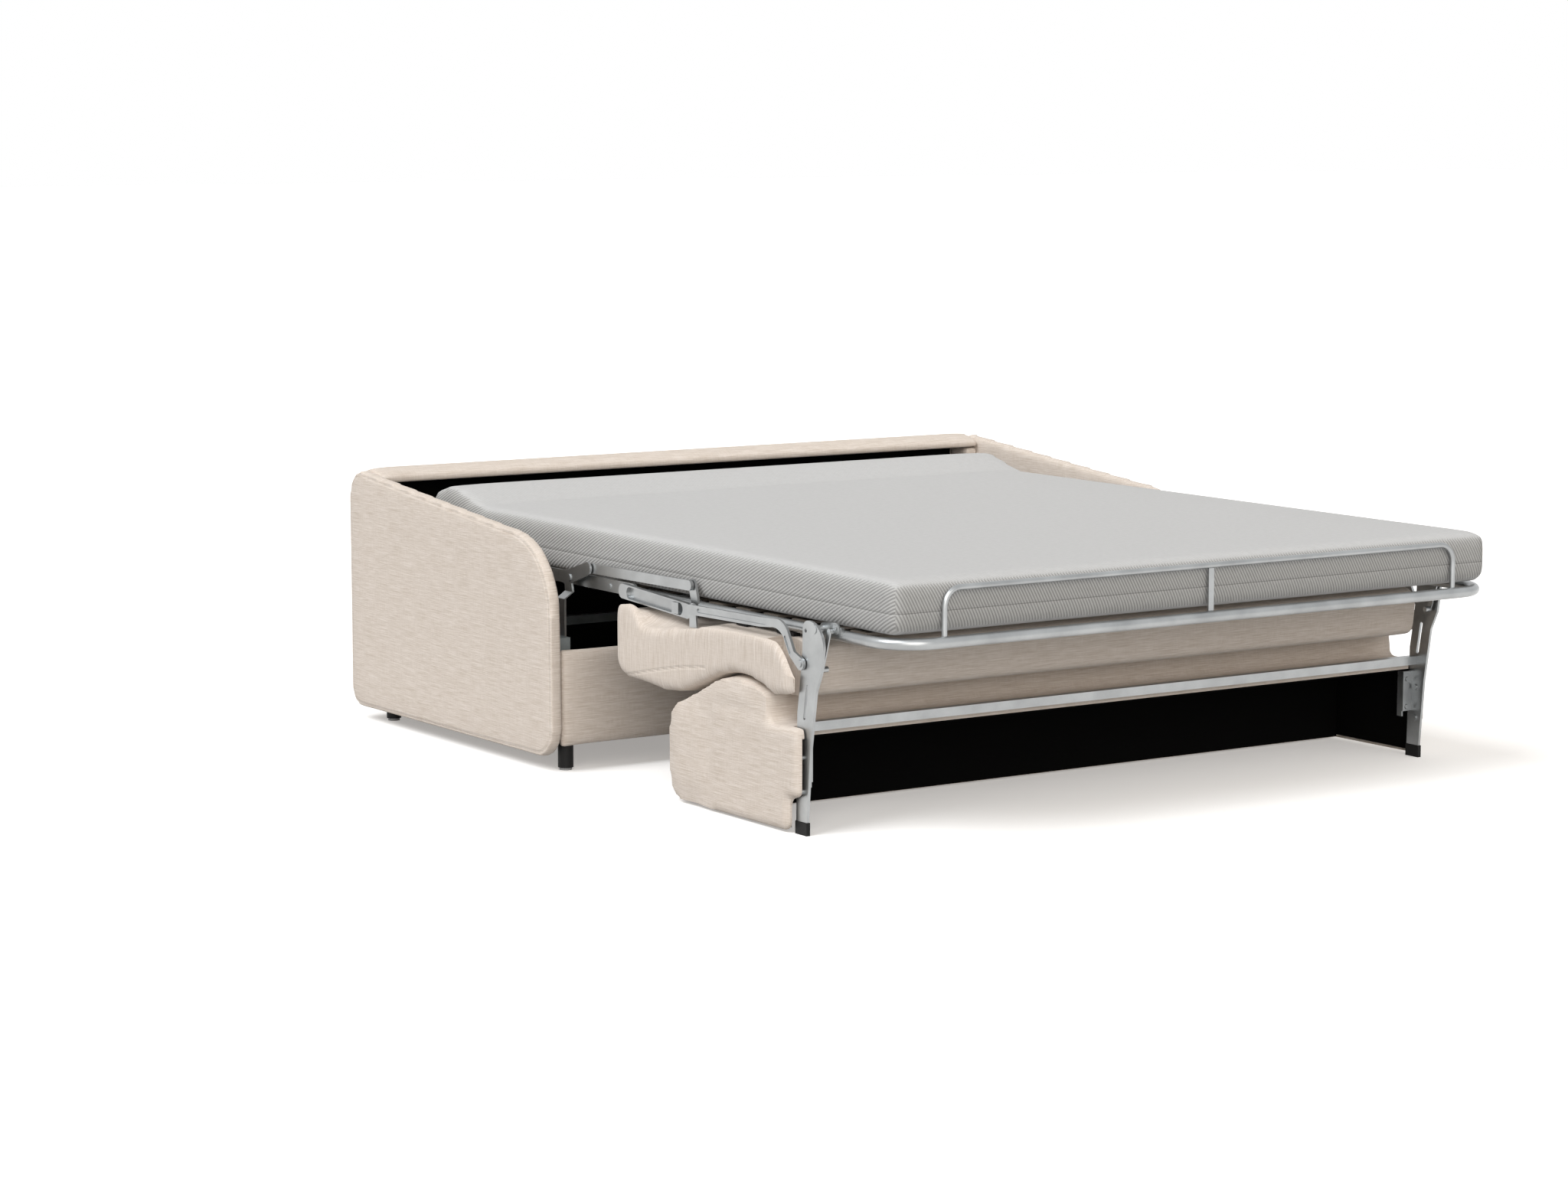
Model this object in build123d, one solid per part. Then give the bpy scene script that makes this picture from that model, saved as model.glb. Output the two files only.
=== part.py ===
from build123d import *
import os

# Sofa bed, open as a bed. Millimetres, +Z up, the sofa's front faces -Y.
# Depth d grows from the back of the sofa towards the foot of the bed.

# Sofa body
ARM_THICK = 34.0
ARM_SOFT = 11.0
ARM_BACK_D = -80.0
ARM_DEPTH = 962.0
ARM_BOTTOM = 32.0
ARM_REAR_TOP = 603.5
ARM_FRONT_TOP = 532.0
FIT = 0.5
BACK_TOP = 609.0
BACK_DEPTH = 103.0
BACK_RAIL_HEIGHT = 36.0
BACK_BOARD = 20.0
BACK_RETURN = 35.0
BACK_BOTTOM = 50.0
LINING = 3.0
FRONT_RAIL_SET_BACK = 4.0
FRONT_RAIL_THICK = 27.0
FRONT_RAIL_BOTTOM = 59.0
FRONT_RAIL_TOP = 275.0
FLOOR_BOARD_Z = 62.0
FLOOR_BOARD_THICK = 6.0
SIDE_RAIL_THICK = 34.5
SIDE_RAIL_BOTTOM = 240.0
SIDE_RAIL_TOP = 300.0
CROSSBAR_D = 500.0
CROSSBAR_SIZE = 20.0
CROSSBAR_TOP = 295.0
FOOT_R = 17.5
FOOT_SET_IN = 14.0
FOOT_FRONT_D = 832.0
FOOT_REAR_D = 14.0
GLIDE_HEIGHT = 6.0
GLIDE_R = 14.0

# Mattress
BED_HALF = 800.0
BED_HEAD_D = 110.0
BED_FOOT_D = 2016.0
BED_BOTTOM = 428.0
BED_TOP = 543.0
PILLOW_RISE = 36.0
HEAD_SPLIT_RUN = 92.0
FOOT_SPLIT_RUN = 103.0
SPLIT_GAP = 0.4

# Pivots of the fold, as (d, z)
P1 = (811.0, 428.0)
P2 = (886.0, 456.0)
P3 = (1295.0, 461.0)
P4 = (1050.0, 424.0)
P5 = (1313.0, 409.0)
P6 = (1342.0, 417.0)
P8 = (1758.0, 353.0)
LEG_PIVOT = (1797.0, 427.0)
POST_SPACER = (772.0, 430.0)
PIN_R = 6.0
PIN_CLEAR = 0.05
RIVET_R = 8.5
RIVET_HEIGHT = 2.5

# Side layers, as steps outwards from the side of the mattress
MIDDLE_TUBE_STEP = -12.0
TUBE_STEP = 2.0
HEAD_RAIL_STEP = 6.0
TAB_STEP = 8.0
NOTCH_STEP = 12.0
UPPER_LINK_STEP = 16.0
CHANNEL_STEP = 26.0
LEG_STEP = 36.0
SEAT_LUG_STEP = 39.0
ROD_STEP = 44.0
CUSHION_STEP = 62.0
ARM_STEP = 88.0
TUBE_R = 12.0
TUBE_Z = 415.5
HEAD_RAIL_THICK = 6.0
UPPER_LINK_THICK = 7.0
CHANNEL_DEPTH = 12.0
POST_THICK = 5.0
LEG_THICK = 6.0
SEAT_LUG_THICK = 4.0
ROD_THICK = 6.0

# Foot section
TUBE_PAST_BED = 14.0
FOOT_BEND_R = 95.0
TUBE_START_RUN = 13.0
GUARD_INSET = 115.0
GUARD_R = 6.0
GUARD_TOP = 529.0
GUARD_BEND_R = 38.0
GUARD_SET_BACK = 4.0
STRUT_WIDTH = 14.0
STRUT_THICK = 4.0
SLAT_THICK = 6.0
SLAT_WIDTH = 55.0
SEAT_GAP = 0.3

# Legs, seat and backrest
CAP_HEIGHT = 27.0
CUSHION_SOFT = 16.0
SEAT_TOP = 396.0
SEAT_SET_BACK = 20.0
SEAT_RUN = 717.0
NOTCH_RUN = 137.0
BACKREST_WALL = 12.0
HOLLOW_RUN = 287.0
HOLLOW_ROOF = 200.0
BACKREST_SET_BACK = 30.0
BACKREST_RUN = 495.0
LEG_BAR_SIZE = 19.0
LEG_BAR_Z = 212.0
LEG_BAR_SET_BACK = 56.0

# Widths follow the mattress, depths follow the pivots and the mattress's foot end
TUBE_X = BED_HALF + TUBE_STEP
MIDDLE_TUBE_X = BED_HALF + MIDDLE_TUBE_STEP
HEAD_RAIL_X = BED_HALF + HEAD_RAIL_STEP
TAB_X = BED_HALF + TAB_STEP
SEAT_NOTCH_X = BED_HALF + NOTCH_STEP
UPPER_LINK_X = BED_HALF + UPPER_LINK_STEP
CHANNEL_X = BED_HALF + CHANNEL_STEP
POST_X = CHANNEL_X
LEG_X = BED_HALF + LEG_STEP
SEAT_LUG_X = BED_HALF + SEAT_LUG_STEP
ROD_X = BED_HALF + ROD_STEP
CUSHION_HALF = BED_HALF + CUSHION_STEP
ARM_IN = BED_HALF + ARM_STEP
SOFA_HALF = ARM_IN + ARM_THICK
INNER_HALF = ARM_IN - FIT
GUARD_HALF = BED_HALF - GUARD_INSET
ARM_FRONT_D = ARM_BACK_D + ARM_DEPTH
FRONT_RAIL_FACE = ARM_FRONT_D - FRONT_RAIL_SET_BACK
BACK_FACE_D = ARM_BACK_D + BACK_DEPTH
HEAD_SPLIT_D = P4[0] - HEAD_SPLIT_RUN
FOOT_SPLIT_D = P5[0] + FOOT_SPLIT_RUN
FOOT_TUBE_START = P5[0] - TUBE_START_RUN
FOOT_TUBE_D = BED_FOOT_D + TUBE_PAST_BED
GUARD_D = FOOT_TUBE_D - GUARD_SET_BACK
SEAT_FRONT_D = LEG_PIVOT[0] - SEAT_SET_BACK
SEAT_NOTCH_D = SEAT_FRONT_D - NOTCH_RUN
BACKREST_FRONT_D = LEG_PIVOT[0] - BACKREST_SET_BACK
HOLLOW_D = BACKREST_FRONT_D - HOLLOW_RUN
LEG_BAR_D = LEG_PIVOT[0] - LEG_BAR_SET_BACK
LENGTH = FOOT_TUBE_D + TUBE_R - ARM_BACK_D
Y_BACK = LENGTH / 2 + ARM_BACK_D


def place(point):
    """Depth and height to the drawing plane's own pair, y and z."""
    return (Y_BACK - point[0], point[1])


def edges_of(start, moves, shift):
    """Closed loop of lines and arcs; a move is an end point, or a middle point and an end point."""
    edges = []
    here = start
    for move in moves:
        if isinstance(move[0], tuple):
            middle, end = move
            edges.append(ThreePointArc(place(shift(here)), place(shift(middle)), place(shift(end))))
        else:
            end = move
            edges.append(Line(place(shift(here)), place(shift(end))))
        here = end
    edges.append(Line(place(shift(here)), place(shift(start))))
    return edges


def wire_at(x, start, moves, inset_d=0.0, inset_z=0.0):
    """The loop on the plane at x, drawn in about the middle of its box by the insets."""
    points = [start]
    for move in moves:
        points += list(move) if isinstance(move[0], tuple) else [move]
    low_d = min(p[0] for p in points)
    high_d = max(p[0] for p in points)
    low_z = min(p[1] for p in points)
    high_z = max(p[1] for p in points)
    mid_d = (low_d + high_d) / 2
    mid_z = (low_z + high_z) / 2
    scale_d = 1 - 2 * inset_d / (high_d - low_d)
    scale_z = 1 - 2 * inset_z / (high_z - low_z)

    def shift(point):
        return (mid_d + (point[0] - mid_d) * scale_d, mid_z + (point[1] - mid_z) * scale_z)

    loop = Wire(edges_of(start, moves, shift))
    return Plane.YZ.offset(x) * loop


def soft_slab(start, moves, x_low, x_high, soft, ends_drawn_in=True):
    """Padded form along x: full section inside, drawn in by stages towards both side faces."""
    stages = [(0.0, 1.0), (0.25, 0.38), (0.75, 0.06), (1.4, 0.0)]
    wires = []
    for run, share in stages:
        inset = soft * share
        wires.append(wire_at(x_low + soft * run, start, moves, inset if ends_drawn_in else 0.0, inset))
    for run, share in reversed(stages):
        inset = soft * share
        wires.append(wire_at(x_high - soft * run, start, moves, inset if ends_drawn_in else 0.0, inset))
    return Solid.make_loft(wires, True)


def plate(start, moves, x_low, thick):
    return extrude(Face(wire_at(x_low, start, moves)), thick, dir=(1, 0, 0))


def capsule(a, b, half, x_low, thick):
    """Flat bar with round ends about two pivots."""
    run = Vector(b[0] - a[0], b[1] - a[1]).normalized()
    side = (-run.Y * half, run.X * half)
    tip = (b[0] + run.X * half, b[1] + run.Y * half)
    tail = (a[0] - run.X * half, a[1] - run.Y * half)
    start = (a[0] + side[0], a[1] + side[1])
    far = (b[0] + side[0], b[1] + side[1])
    under = (b[0] - side[0], b[1] - side[1])
    near = (a[0] - side[0], a[1] - side[1])
    edges = [
        Line(place(start), place(far)),
        ThreePointArc(place(far), place(tip), place(under)),
        Line(place(under), place(near)),
        ThreePointArc(place(near), place(tail), place(start)),
    ]
    return extrude(Plane.YZ.offset(x_low) * Face(Wire(edges)), thick, dir=(1, 0, 0))


def block(x_low, x_high, d_low, d_high, z_low, z_high):
    size = Box(x_high - x_low, d_high - d_low, z_high - z_low)
    return Pos((x_low + x_high) / 2, Y_BACK - (d_low + d_high) / 2, (z_low + z_high) / 2) * size


def pin(point, radius, x_low, x_high):
    rod = Rot(0, 90, 0) * Cylinder(radius, x_high - x_low)
    return Pos((x_low + x_high) / 2, Y_BACK - point[0], point[1]) * rod


def post(x, d, radius, z_low, z_high):
    return Pos(x, Y_BACK - d, (z_low + z_high) / 2) * Cylinder(radius, z_high - z_low)


def tube(points, radius, bend):
    path = FilletPolyline(*points, radius=bend)
    return sweep(Plane(origin=path @ 0, z_dir=path % 0) * Circle(radius), path=path)


def both(*shapes):
    """The right-hand pieces and their mirrored left-hand pieces, as separate solids."""
    solids = []
    for shape in shapes:
        solids += list(shape.solids())
        solids += list(mirror(shape, about=Plane.YZ).solids())
    return Compound(children=solids)


def group(*shapes):
    solids = []
    for shape in shapes:
        solids += list(shape.solids())
    return Compound(children=solids)


nodes = {}


def keep(name, shape):
    nodes[name] = shape


def keep_pair(name, right):
    nodes[name + "_right"] = right
    nodes[name + "_left"] = mirror(right, about=Plane.YZ)


def make_body():
    arm_start = (ARM_BACK_D + 50, ARM_BOTTOM)
    arm_moves = [
        (ARM_FRONT_D - 68, ARM_BOTTOM + 2),
        ((ARM_FRONT_D - 20, ARM_BOTTOM + 22), (ARM_FRONT_D, ARM_BOTTOM + 70)),
        (ARM_FRONT_D - 2, ARM_FRONT_TOP - 192),
        ((ARM_FRONT_D - 23, ARM_FRONT_TOP - 98), (ARM_FRONT_D - 70, ARM_FRONT_TOP - 40)),
        ((ARM_FRONT_D - 122, ARM_FRONT_TOP - 13), (ARM_FRONT_D - 192, ARM_FRONT_TOP)),
        (ARM_BACK_D + 58, ARM_REAR_TOP),
        ((ARM_BACK_D + 19.5, ARM_REAR_TOP - 19), (ARM_BACK_D, ARM_REAR_TOP - 65)),
        (ARM_BACK_D, ARM_BOTTOM + 48),
        ((ARM_BACK_D + 14.1, ARM_BOTTOM + 14.1), (ARM_BACK_D + 48, ARM_BOTTOM)),
    ]
    keep_pair("arm", soft_slab(arm_start, arm_moves, ARM_IN, SOFA_HALF, ARM_SOFT))

    rail_low = BACK_TOP - BACK_RAIL_HEIGHT
    rear = ARM_BACK_D
    rail_moves = [
        (BACK_FACE_D - 4, rail_low + 3),
        ((BACK_FACE_D, rail_low + 12), (BACK_FACE_D - 12, BACK_TOP - 10)),
        ((rear + BACK_DEPTH / 2, BACK_TOP), (rear + 12, BACK_TOP - 10)),
        ((rear + 5, BACK_TOP - 15), (rear + 4, rail_low + 14)),
    ]
    keep("back_top_rail", soft_slab((rear + 4, rail_low), rail_moves, -INNER_HALF, INNER_HALF, 4.0))
    board_d = rear + 2 + BACK_BOARD
    keep("back_board", block(-INNER_HALF, INNER_HALF, rear + 2, board_d, BACK_BOTTOM, rail_low))
    board_top = FLOOR_BOARD_Z + FLOOR_BOARD_THICK
    return_d = BACK_FACE_D - 5
    returns = block(INNER_HALF - BACK_RETURN, INNER_HALF, board_d, return_d, board_top, rail_low)
    keep_pair("back_return", returns)
    lining_half = INNER_HALF - BACK_RETURN
    keep("back_lining", block(-lining_half, lining_half, board_d, board_d + LINING, BACK_BOTTOM, rail_low))

    rail_back = FRONT_RAIL_FACE - FRONT_RAIL_THICK
    front_moves = [
        (rail_back, FRONT_RAIL_TOP - 6),
        ((rail_back + 2, FRONT_RAIL_TOP - 2), (rail_back + 6, FRONT_RAIL_TOP)),
        (FRONT_RAIL_FACE - 14, FRONT_RAIL_TOP),
        ((FRONT_RAIL_FACE - 4, FRONT_RAIL_TOP - 4), (FRONT_RAIL_FACE, FRONT_RAIL_TOP - 14)),
        (FRONT_RAIL_FACE, FRONT_RAIL_BOTTOM + 12),
        ((FRONT_RAIL_FACE - 3, FRONT_RAIL_BOTTOM + 3), (FRONT_RAIL_FACE - 12, FRONT_RAIL_BOTTOM)),
    ]
    keep("front_rail", soft_slab((rail_back, FRONT_RAIL_BOTTOM), front_moves, -INNER_HALF, INNER_HALF, 3.0))

    side_x = INNER_HALF - SIDE_RAIL_THICK
    side_rail = block(side_x, INNER_HALF, return_d, rail_back, SIDE_RAIL_BOTTOM, SIDE_RAIL_TOP)
    keep_pair("side_rail", side_rail)
    bar_low = CROSSBAR_TOP - CROSSBAR_SIZE
    bar_d = CROSSBAR_D + CROSSBAR_SIZE
    keep("base_crossbar", block(-side_x, side_x, CROSSBAR_D, bar_d, bar_low, CROSSBAR_TOP))
    floor_d = board_d + LINING
    keep("bottom_board", block(-INNER_HALF, INNER_HALF, floor_d, rail_back, FLOOR_BOARD_Z, board_top))

    foot_x = INNER_HALF - FOOT_R - FOOT_SET_IN
    feet = []
    glides = []
    for d in (FOOT_FRONT_D, FOOT_REAR_D):
        feet.append(post(foot_x, d, FOOT_R, GLIDE_HEIGHT, FLOOR_BOARD_Z))
        glides.append(post(foot_x, d, GLIDE_R, 0, GLIDE_HEIGHT))
    keep("sofa_feet", both(*feet))
    keep("sofa_glides", both(*glides))


def make_posts():
    neck = (P1[0] - 19, P1[1] - 31)
    neck_width = 32.0
    upper_moves = [
        (neck[0] + neck_width, neck[1]),
        (P1[0] + 8, P1[1] - 12),
        (P2[0] + 6, P2[1] - 14),
        ((P2[0] + 15, P2[1]), (P2[0] + 2, P2[1] + 15)),
        (P1[0] - 4, P1[1] + 18),
        (POST_SPACER[0] - 2, POST_SPACER[1] + 12),
        ((POST_SPACER[0] - 13, POST_SPACER[1]), (POST_SPACER[0] - 2, POST_SPACER[1] - 12)),
        (neck[0] - 2, neck[1] + 15),
    ]
    upper = plate(neck, upper_moves, POST_X, POST_THICK)
    stem_x = INNER_HALF - SIDE_RAIL_THICK - POST_THICK
    stem_d = neck[0] + 2
    stem_top = neck[1] - 14
    high_corner = Pos(POST_X + POST_THICK / 2, Y_BACK - neck[0] - neck_width / 2, neck[1])
    low_corner = Pos(stem_x + POST_THICK / 2, Y_BACK - stem_d - neck_width / 2, stem_top)
    section = Rectangle(POST_THICK, neck_width)
    joggle = loft([high_corner * section, low_corner * section])
    stem = block(stem_x, stem_x + POST_THICK, stem_d, stem_d + neck_width, SIDE_RAIL_BOTTOM + 4, stem_top)
    keep_pair("post", upper + joggle + stem)

    rail_face = HEAD_RAIL_X + HEAD_RAIL_THICK
    spacer = pin(POST_SPACER, RIVET_R - 1, rail_face, POST_X)
    head = pin(P1, RIVET_R, POST_X + POST_THICK, POST_X + POST_THICK + RIVET_HEIGHT)
    rail_rivet = pin((P4[0] - 96, P4[1] - 2), RIVET_R - 2, rail_face, rail_face + RIVET_HEIGHT)
    keep("post_rivets", both(spacer, head, rail_rivet))


def slats(d_low, d_high, count, half):
    """Flat strips across the bed, just under the mattress."""
    step = (d_high - d_low - SLAT_WIDTH) / (count - 1)
    top = BED_BOTTOM - FIT
    strips = []
    for i in range(count):
        d = d_low + i * step
        strips.append(block(-half, half, d, d + SLAT_WIDTH, top - SLAT_THICK, top))
    return group(*strips)


def make_head_section():
    half_height = 14.0
    rail = capsule((BED_HEAD_D + 16, P4[1]), P4, half_height, HEAD_RAIL_X, HEAD_RAIL_THICK)
    pivot = pin(P4, PIN_R, HEAD_RAIL_X + HEAD_RAIL_THICK, CHANNEL_X + CHANNEL_DEPTH)
    collar = pin(P4, PIN_R + 3, HEAD_RAIL_X + HEAD_RAIL_THICK, CHANNEL_X - FIT)
    keep_pair("head_rail", rail + pivot + collar)
    bars = []
    bar_first = BED_HEAD_D + 12
    bar_step = (P4[0] - 34 - bar_first) / 3
    bar_top = BED_BOTTOM - FIT - SLAT_THICK
    for i in range(4):
        d = bar_first + i * bar_step
        bars.append(block(-HEAD_RAIL_X, HEAD_RAIL_X, d, d + 18, bar_top - 6, bar_top))
    keep("head_crossbars", group(*bars))
    keep("head_slats", slats(BED_HEAD_D + 34, P4[0] - 40, 7, HEAD_RAIL_X))

    rise = BED_TOP + PILLOW_RISE
    start = (BED_HEAD_D + 20, BED_BOTTOM)
    moves = [
        (HEAD_SPLIT_D, BED_BOTTOM),
        (HEAD_SPLIT_D, BED_TOP),
        (BED_HEAD_D + 235, BED_TOP + 2),
        (BED_HEAD_D + 145, rise - 8),
        ((BED_HEAD_D + 62, rise), (BED_HEAD_D + 18, rise - 14)),
        ((BED_HEAD_D + 4, rise - 26), (BED_HEAD_D, rise - 48)),
        (BED_HEAD_D, BED_BOTTOM + 22),
        ((BED_HEAD_D + 5, BED_BOTTOM + 6), (BED_HEAD_D + 19, BED_BOTTOM)),
    ]
    keep("mattress_head", soft_slab(start, moves, -BED_HALF, BED_HALF, CUSHION_SOFT, False))


def make_middle_section():
    half = 16.0
    web = 3.0
    inner_run = 15.0
    body = capsule(P4, P5, half, CHANNEL_X, CHANNEL_DEPTH)
    run = Vector(P5[0] - P4[0], P5[1] - P4[1]).normalized()
    groove_a = (P4[0] + run.X * inner_run * 2, P4[1] + run.Y * inner_run * 2)
    groove_b = (P5[0] - run.X * inner_run * 2, P5[1] - run.Y * inner_run * 2)
    groove = capsule(groove_a, groove_b, half - web, CHANNEL_X + web, CHANNEL_DEPTH)
    hole_r = PIN_R + PIN_CLEAR
    holes = pin(P4, hole_r, CHANNEL_X - 1, CHANNEL_X + CHANNEL_DEPTH + 1)
    holes = holes + pin(P5, hole_r, CHANNEL_X - 1, CHANNEL_X + CHANNEL_DEPTH + 1)
    keep_pair("channel_link", body - groove - holes)

    bumper_half = half - web - FIT
    bumper_d = groove_b[0] - 26
    bumper_x = CHANNEL_X + web
    bumper_low = groove_b[1] - bumper_half + 1.5
    bumper_top = bumper_low + 2 * bumper_half - 1
    bumper = block(bumper_x, bumper_x + CHANNEL_DEPTH, bumper_d, groove_b[0], bumper_low, bumper_top)
    keep("link_bumpers", both(bumper))

    rail = tube_run(MIDDLE_TUBE_X, P4[0] + 30, P5[0] - 33)
    spacer_d = P4[0] + 60
    spacer = block(MIDDLE_TUBE_X, CHANNEL_X, spacer_d, spacer_d + 62, TUBE_Z - 9, TUBE_Z + 9)
    side = rail + spacer
    bar = block(-MIDDLE_TUBE_X, MIDDLE_TUBE_X, spacer_d + 22, spacer_d + 42, TUBE_Z - 9, TUBE_Z + 5)
    keep("middle_frame", side + mirror(side, about=Plane.YZ) + bar)
    keep("middle_slats", slats(P4[0] + 36, P5[0] - 36, 2, MIDDLE_TUBE_X - TUBE_R - FIT))

    start = (HEAD_SPLIT_D + SPLIT_GAP, BED_BOTTOM)
    moves = [
        (FOOT_SPLIT_D - SPLIT_GAP, BED_BOTTOM),
        (FOOT_SPLIT_D - SPLIT_GAP, BED_TOP),
        (HEAD_SPLIT_D + SPLIT_GAP, BED_TOP),
    ]
    keep("mattress_middle", soft_slab(start, moves, -BED_HALF, BED_HALF, CUSHION_SOFT, False))


def tube_run(x, d_low, d_high):
    run = Rot(90, 0, 0) * Cylinder(TUBE_R, d_high - d_low)
    return Pos(x, Y_BACK - (d_low + d_high) / 2, TUBE_Z) * run


def make_foot_section():
    corner = (FOOT_TUBE_START, FOOT_TUBE_D)
    points = [
        (TUBE_X, Y_BACK - corner[0], TUBE_Z),
        (TUBE_X, Y_BACK - corner[1], TUBE_Z),
        (-TUBE_X, Y_BACK - corner[1], TUBE_Z),
        (-TUBE_X, Y_BACK - corner[0], TUBE_Z),
    ]
    frame = tube(points, TUBE_R, FOOT_BEND_R)
    tab_half = 13.0
    tab_base = (P3[0] + 12, TUBE_Z + 4)
    tab = capsule(tab_base, P3, tab_half, TAB_X, UPPER_LINK_X - TAB_X - 2)
    link_pin = pin(P3, PIN_R, TAB_X, UPPER_LINK_X + UPPER_LINK_THICK)
    middle_pin = pin(P5, PIN_R, TUBE_X, CHANNEL_X + CHANNEL_DEPTH)
    collar = pin(P5, PIN_R + 3, TUBE_X, CHANNEL_X - FIT)
    side = tab + link_pin + middle_pin + collar
    keep("foot_tube", frame + side + mirror(side, about=Plane.YZ))
    slat_half = TUBE_X - TUBE_R - FIT
    keep("foot_slats", slats(FOOT_TUBE_START + 24, FOOT_TUBE_D - FOOT_BEND_R - 30, 6, slat_half))

    guard_z = GUARD_TOP - GUARD_R
    tube_top = TUBE_Z + TUBE_R - FIT
    loop = [
        (GUARD_HALF, Y_BACK - GUARD_D, tube_top),
        (GUARD_HALF, Y_BACK - GUARD_D, guard_z),
        (-GUARD_HALF, Y_BACK - GUARD_D, guard_z),
        (-GUARD_HALF, Y_BACK - GUARD_D, tube_top),
    ]
    bent_tube = tube(points, TUBE_R + FIT / 2, FOOT_BEND_R)
    keep("guard_rail", tube(loop, GUARD_R, GUARD_BEND_R) - bent_tube)
    strut_x = STRUT_WIDTH / 2
    strut_low = GUARD_D - STRUT_THICK / 2
    strut = block(-strut_x, strut_x, strut_low, strut_low + STRUT_THICK, tube_top, guard_z - GUARD_R)
    keep("guard_strut", strut - bent_tube)

    bracket_x = TUBE_X + TUBE_R + 1
    clip_d = LEG_PIVOT[0] + 43
    bracket = capsule(LEG_PIVOT, (clip_d, LEG_PIVOT[1] + 4), 12.0, bracket_x, 4.0)
    clip = block(TUBE_X + 6, bracket_x, clip_d - 14, clip_d + 16, TUBE_Z + 2, TUBE_Z + TUBE_R + 6)
    seat_of_clip = tube(points, TUBE_R + 0.2, FOOT_BEND_R)
    stop = (LEG_PIVOT[0] + 9, LEG_PIVOT[1] - 82)
    strip_x = LEG_X - 9
    strip_top = (clip_d - 8, LEG_PIVOT[1] - 2)
    boss = pin(strip_top, PIN_R - 1, bracket_x + 4, strip_x)
    strip = capsule(strip_top, stop, 6.0, strip_x, 3.0) + boss
    stop_pin = pin(stop, PIN_R, bracket_x, strip_x)
    pivot = pin(LEG_PIVOT, PIN_R + 1, bracket_x, LEG_X + LEG_THICK)
    head_x = LEG_X + LEG_THICK + 0.2
    pivot_head = pin(LEG_PIVOT, PIN_R + 4, head_x, ROD_X - 0.4)
    neck = pin(LEG_PIVOT, PIN_R + 1, LEG_X, head_x + 0.5)
    rivet = pin((clip_d, LEG_PIVOT[1] + 6), 6.0, bracket_x + 4, bracket_x + 4 + RIVET_HEIGHT)
    clamp = bracket + (clip - seat_of_clip) + rivet
    keep_pair("leg_bracket", clamp + strip + stop_pin + pivot + neck + pivot_head)

    start = (FOOT_SPLIT_D, BED_BOTTOM)
    moves = [
        (BED_FOOT_D - 26, BED_BOTTOM),
        ((BED_FOOT_D - 6, BED_BOTTOM + 7), (BED_FOOT_D, BED_BOTTOM + 27)),
        (BED_FOOT_D, BED_TOP - 30),
        ((BED_FOOT_D - 7, BED_TOP - 8), (BED_FOOT_D - 30, BED_TOP)),
        (FOOT_SPLIT_D, BED_TOP),
    ]
    keep("mattress_foot", soft_slab(start, moves, -BED_HALF, BED_HALF, CUSHION_SOFT, False))


def make_legs():
    low = LEG_PIVOT[0] - 63
    foot_width = 38.0
    head = LEG_PIVOT[1]
    moves = [
        (low + foot_width, CAP_HEIGHT),
        (low + 51, head - 248),
        (low + 70, head - 128),
        (low + 89, head - 87),
        (low + 97, head - 39),
        ((low + 84, head - 3), (low + 42, head + 15)),
        ((low + 28, head + 9), (low + 23, head - 5)),
        (low + 22, head - 48),
        (low + 12, head - 128),
        (low + 4, head - 176),
    ]
    leg = plate((low, CAP_HEIGHT), moves, LEG_X, LEG_THICK)
    leg = leg - pin(LEG_PIVOT, PIN_R + 1 + PIN_CLEAR, LEG_X - 1, LEG_X + LEG_THICK + 1)
    leg = leg - pin((LEG_PIVOT[0] - 29, LEG_PIVOT[1] - 6), 4.0, LEG_X - 1, LEG_X + LEG_THICK + 1)
    leg = leg - capsule((low + 40, head - 120), (low + 29, head - 185), 4.0, LEG_X - 1, LEG_THICK + 2)
    keep_pair("leg", leg)
    cap_over = 1.5
    cap_x = LEG_X - cap_over
    cap_d = low - cap_over
    cap_width = LEG_THICK + 2 * cap_over
    cap = block(cap_x, cap_x + cap_width, cap_d, low + foot_width + cap_over, 0, CAP_HEIGHT)
    keep("leg_caps", both(cap))
    bar_top = LEG_BAR_Z + LEG_BAR_SIZE
    keep("leg_crossbar", block(-LEG_X, LEG_X, LEG_BAR_D, LEG_BAR_D + LEG_BAR_SIZE, LEG_BAR_Z, bar_top))

    sheet_d = LEG_BAR_D + 2
    sheet = 4.0
    sheet_in = LEG_X - 26
    sheet_top = HOLLOW_ROOF - LINING - 1
    back = block(sheet_in, LEG_X, sheet_d, sheet_d + sheet, sheet_top - 91, sheet_top)
    flange = block(sheet_in, sheet_in + sheet, sheet_d - 15, sheet_d, sheet_top - 103, sheet_top)
    screws = []
    for z in (sheet_top - 18, sheet_top - 81):
        spot = Pos(sheet_in + 11, Y_BACK - sheet_d - sheet / 2, z) * Rot(90, 0, 0)
        back = back - spot * Cylinder(5.5, sheet * 3)
        screws.append(spot * Pos(0, 0, 1) * Cylinder(5.0, sheet + 4))
    keep_pair("keyhole_bracket", back + flange)
    keep("bracket_screws", both(*screws))
    bolts = []
    cheek_x = CUSHION_HALF - BACKREST_WALL - LINING
    for z in (HOLLOW_ROOF - 110, HOLLOW_ROOF - 40):
        bolts.append(pin((low + 24, z), 5.0, LEG_X + LEG_THICK, cheek_x))
        bolts.append(pin((low + 24, z), 7.0, LEG_X - 3, LEG_X))
    keep("leg_bolts", both(*bolts))


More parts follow.
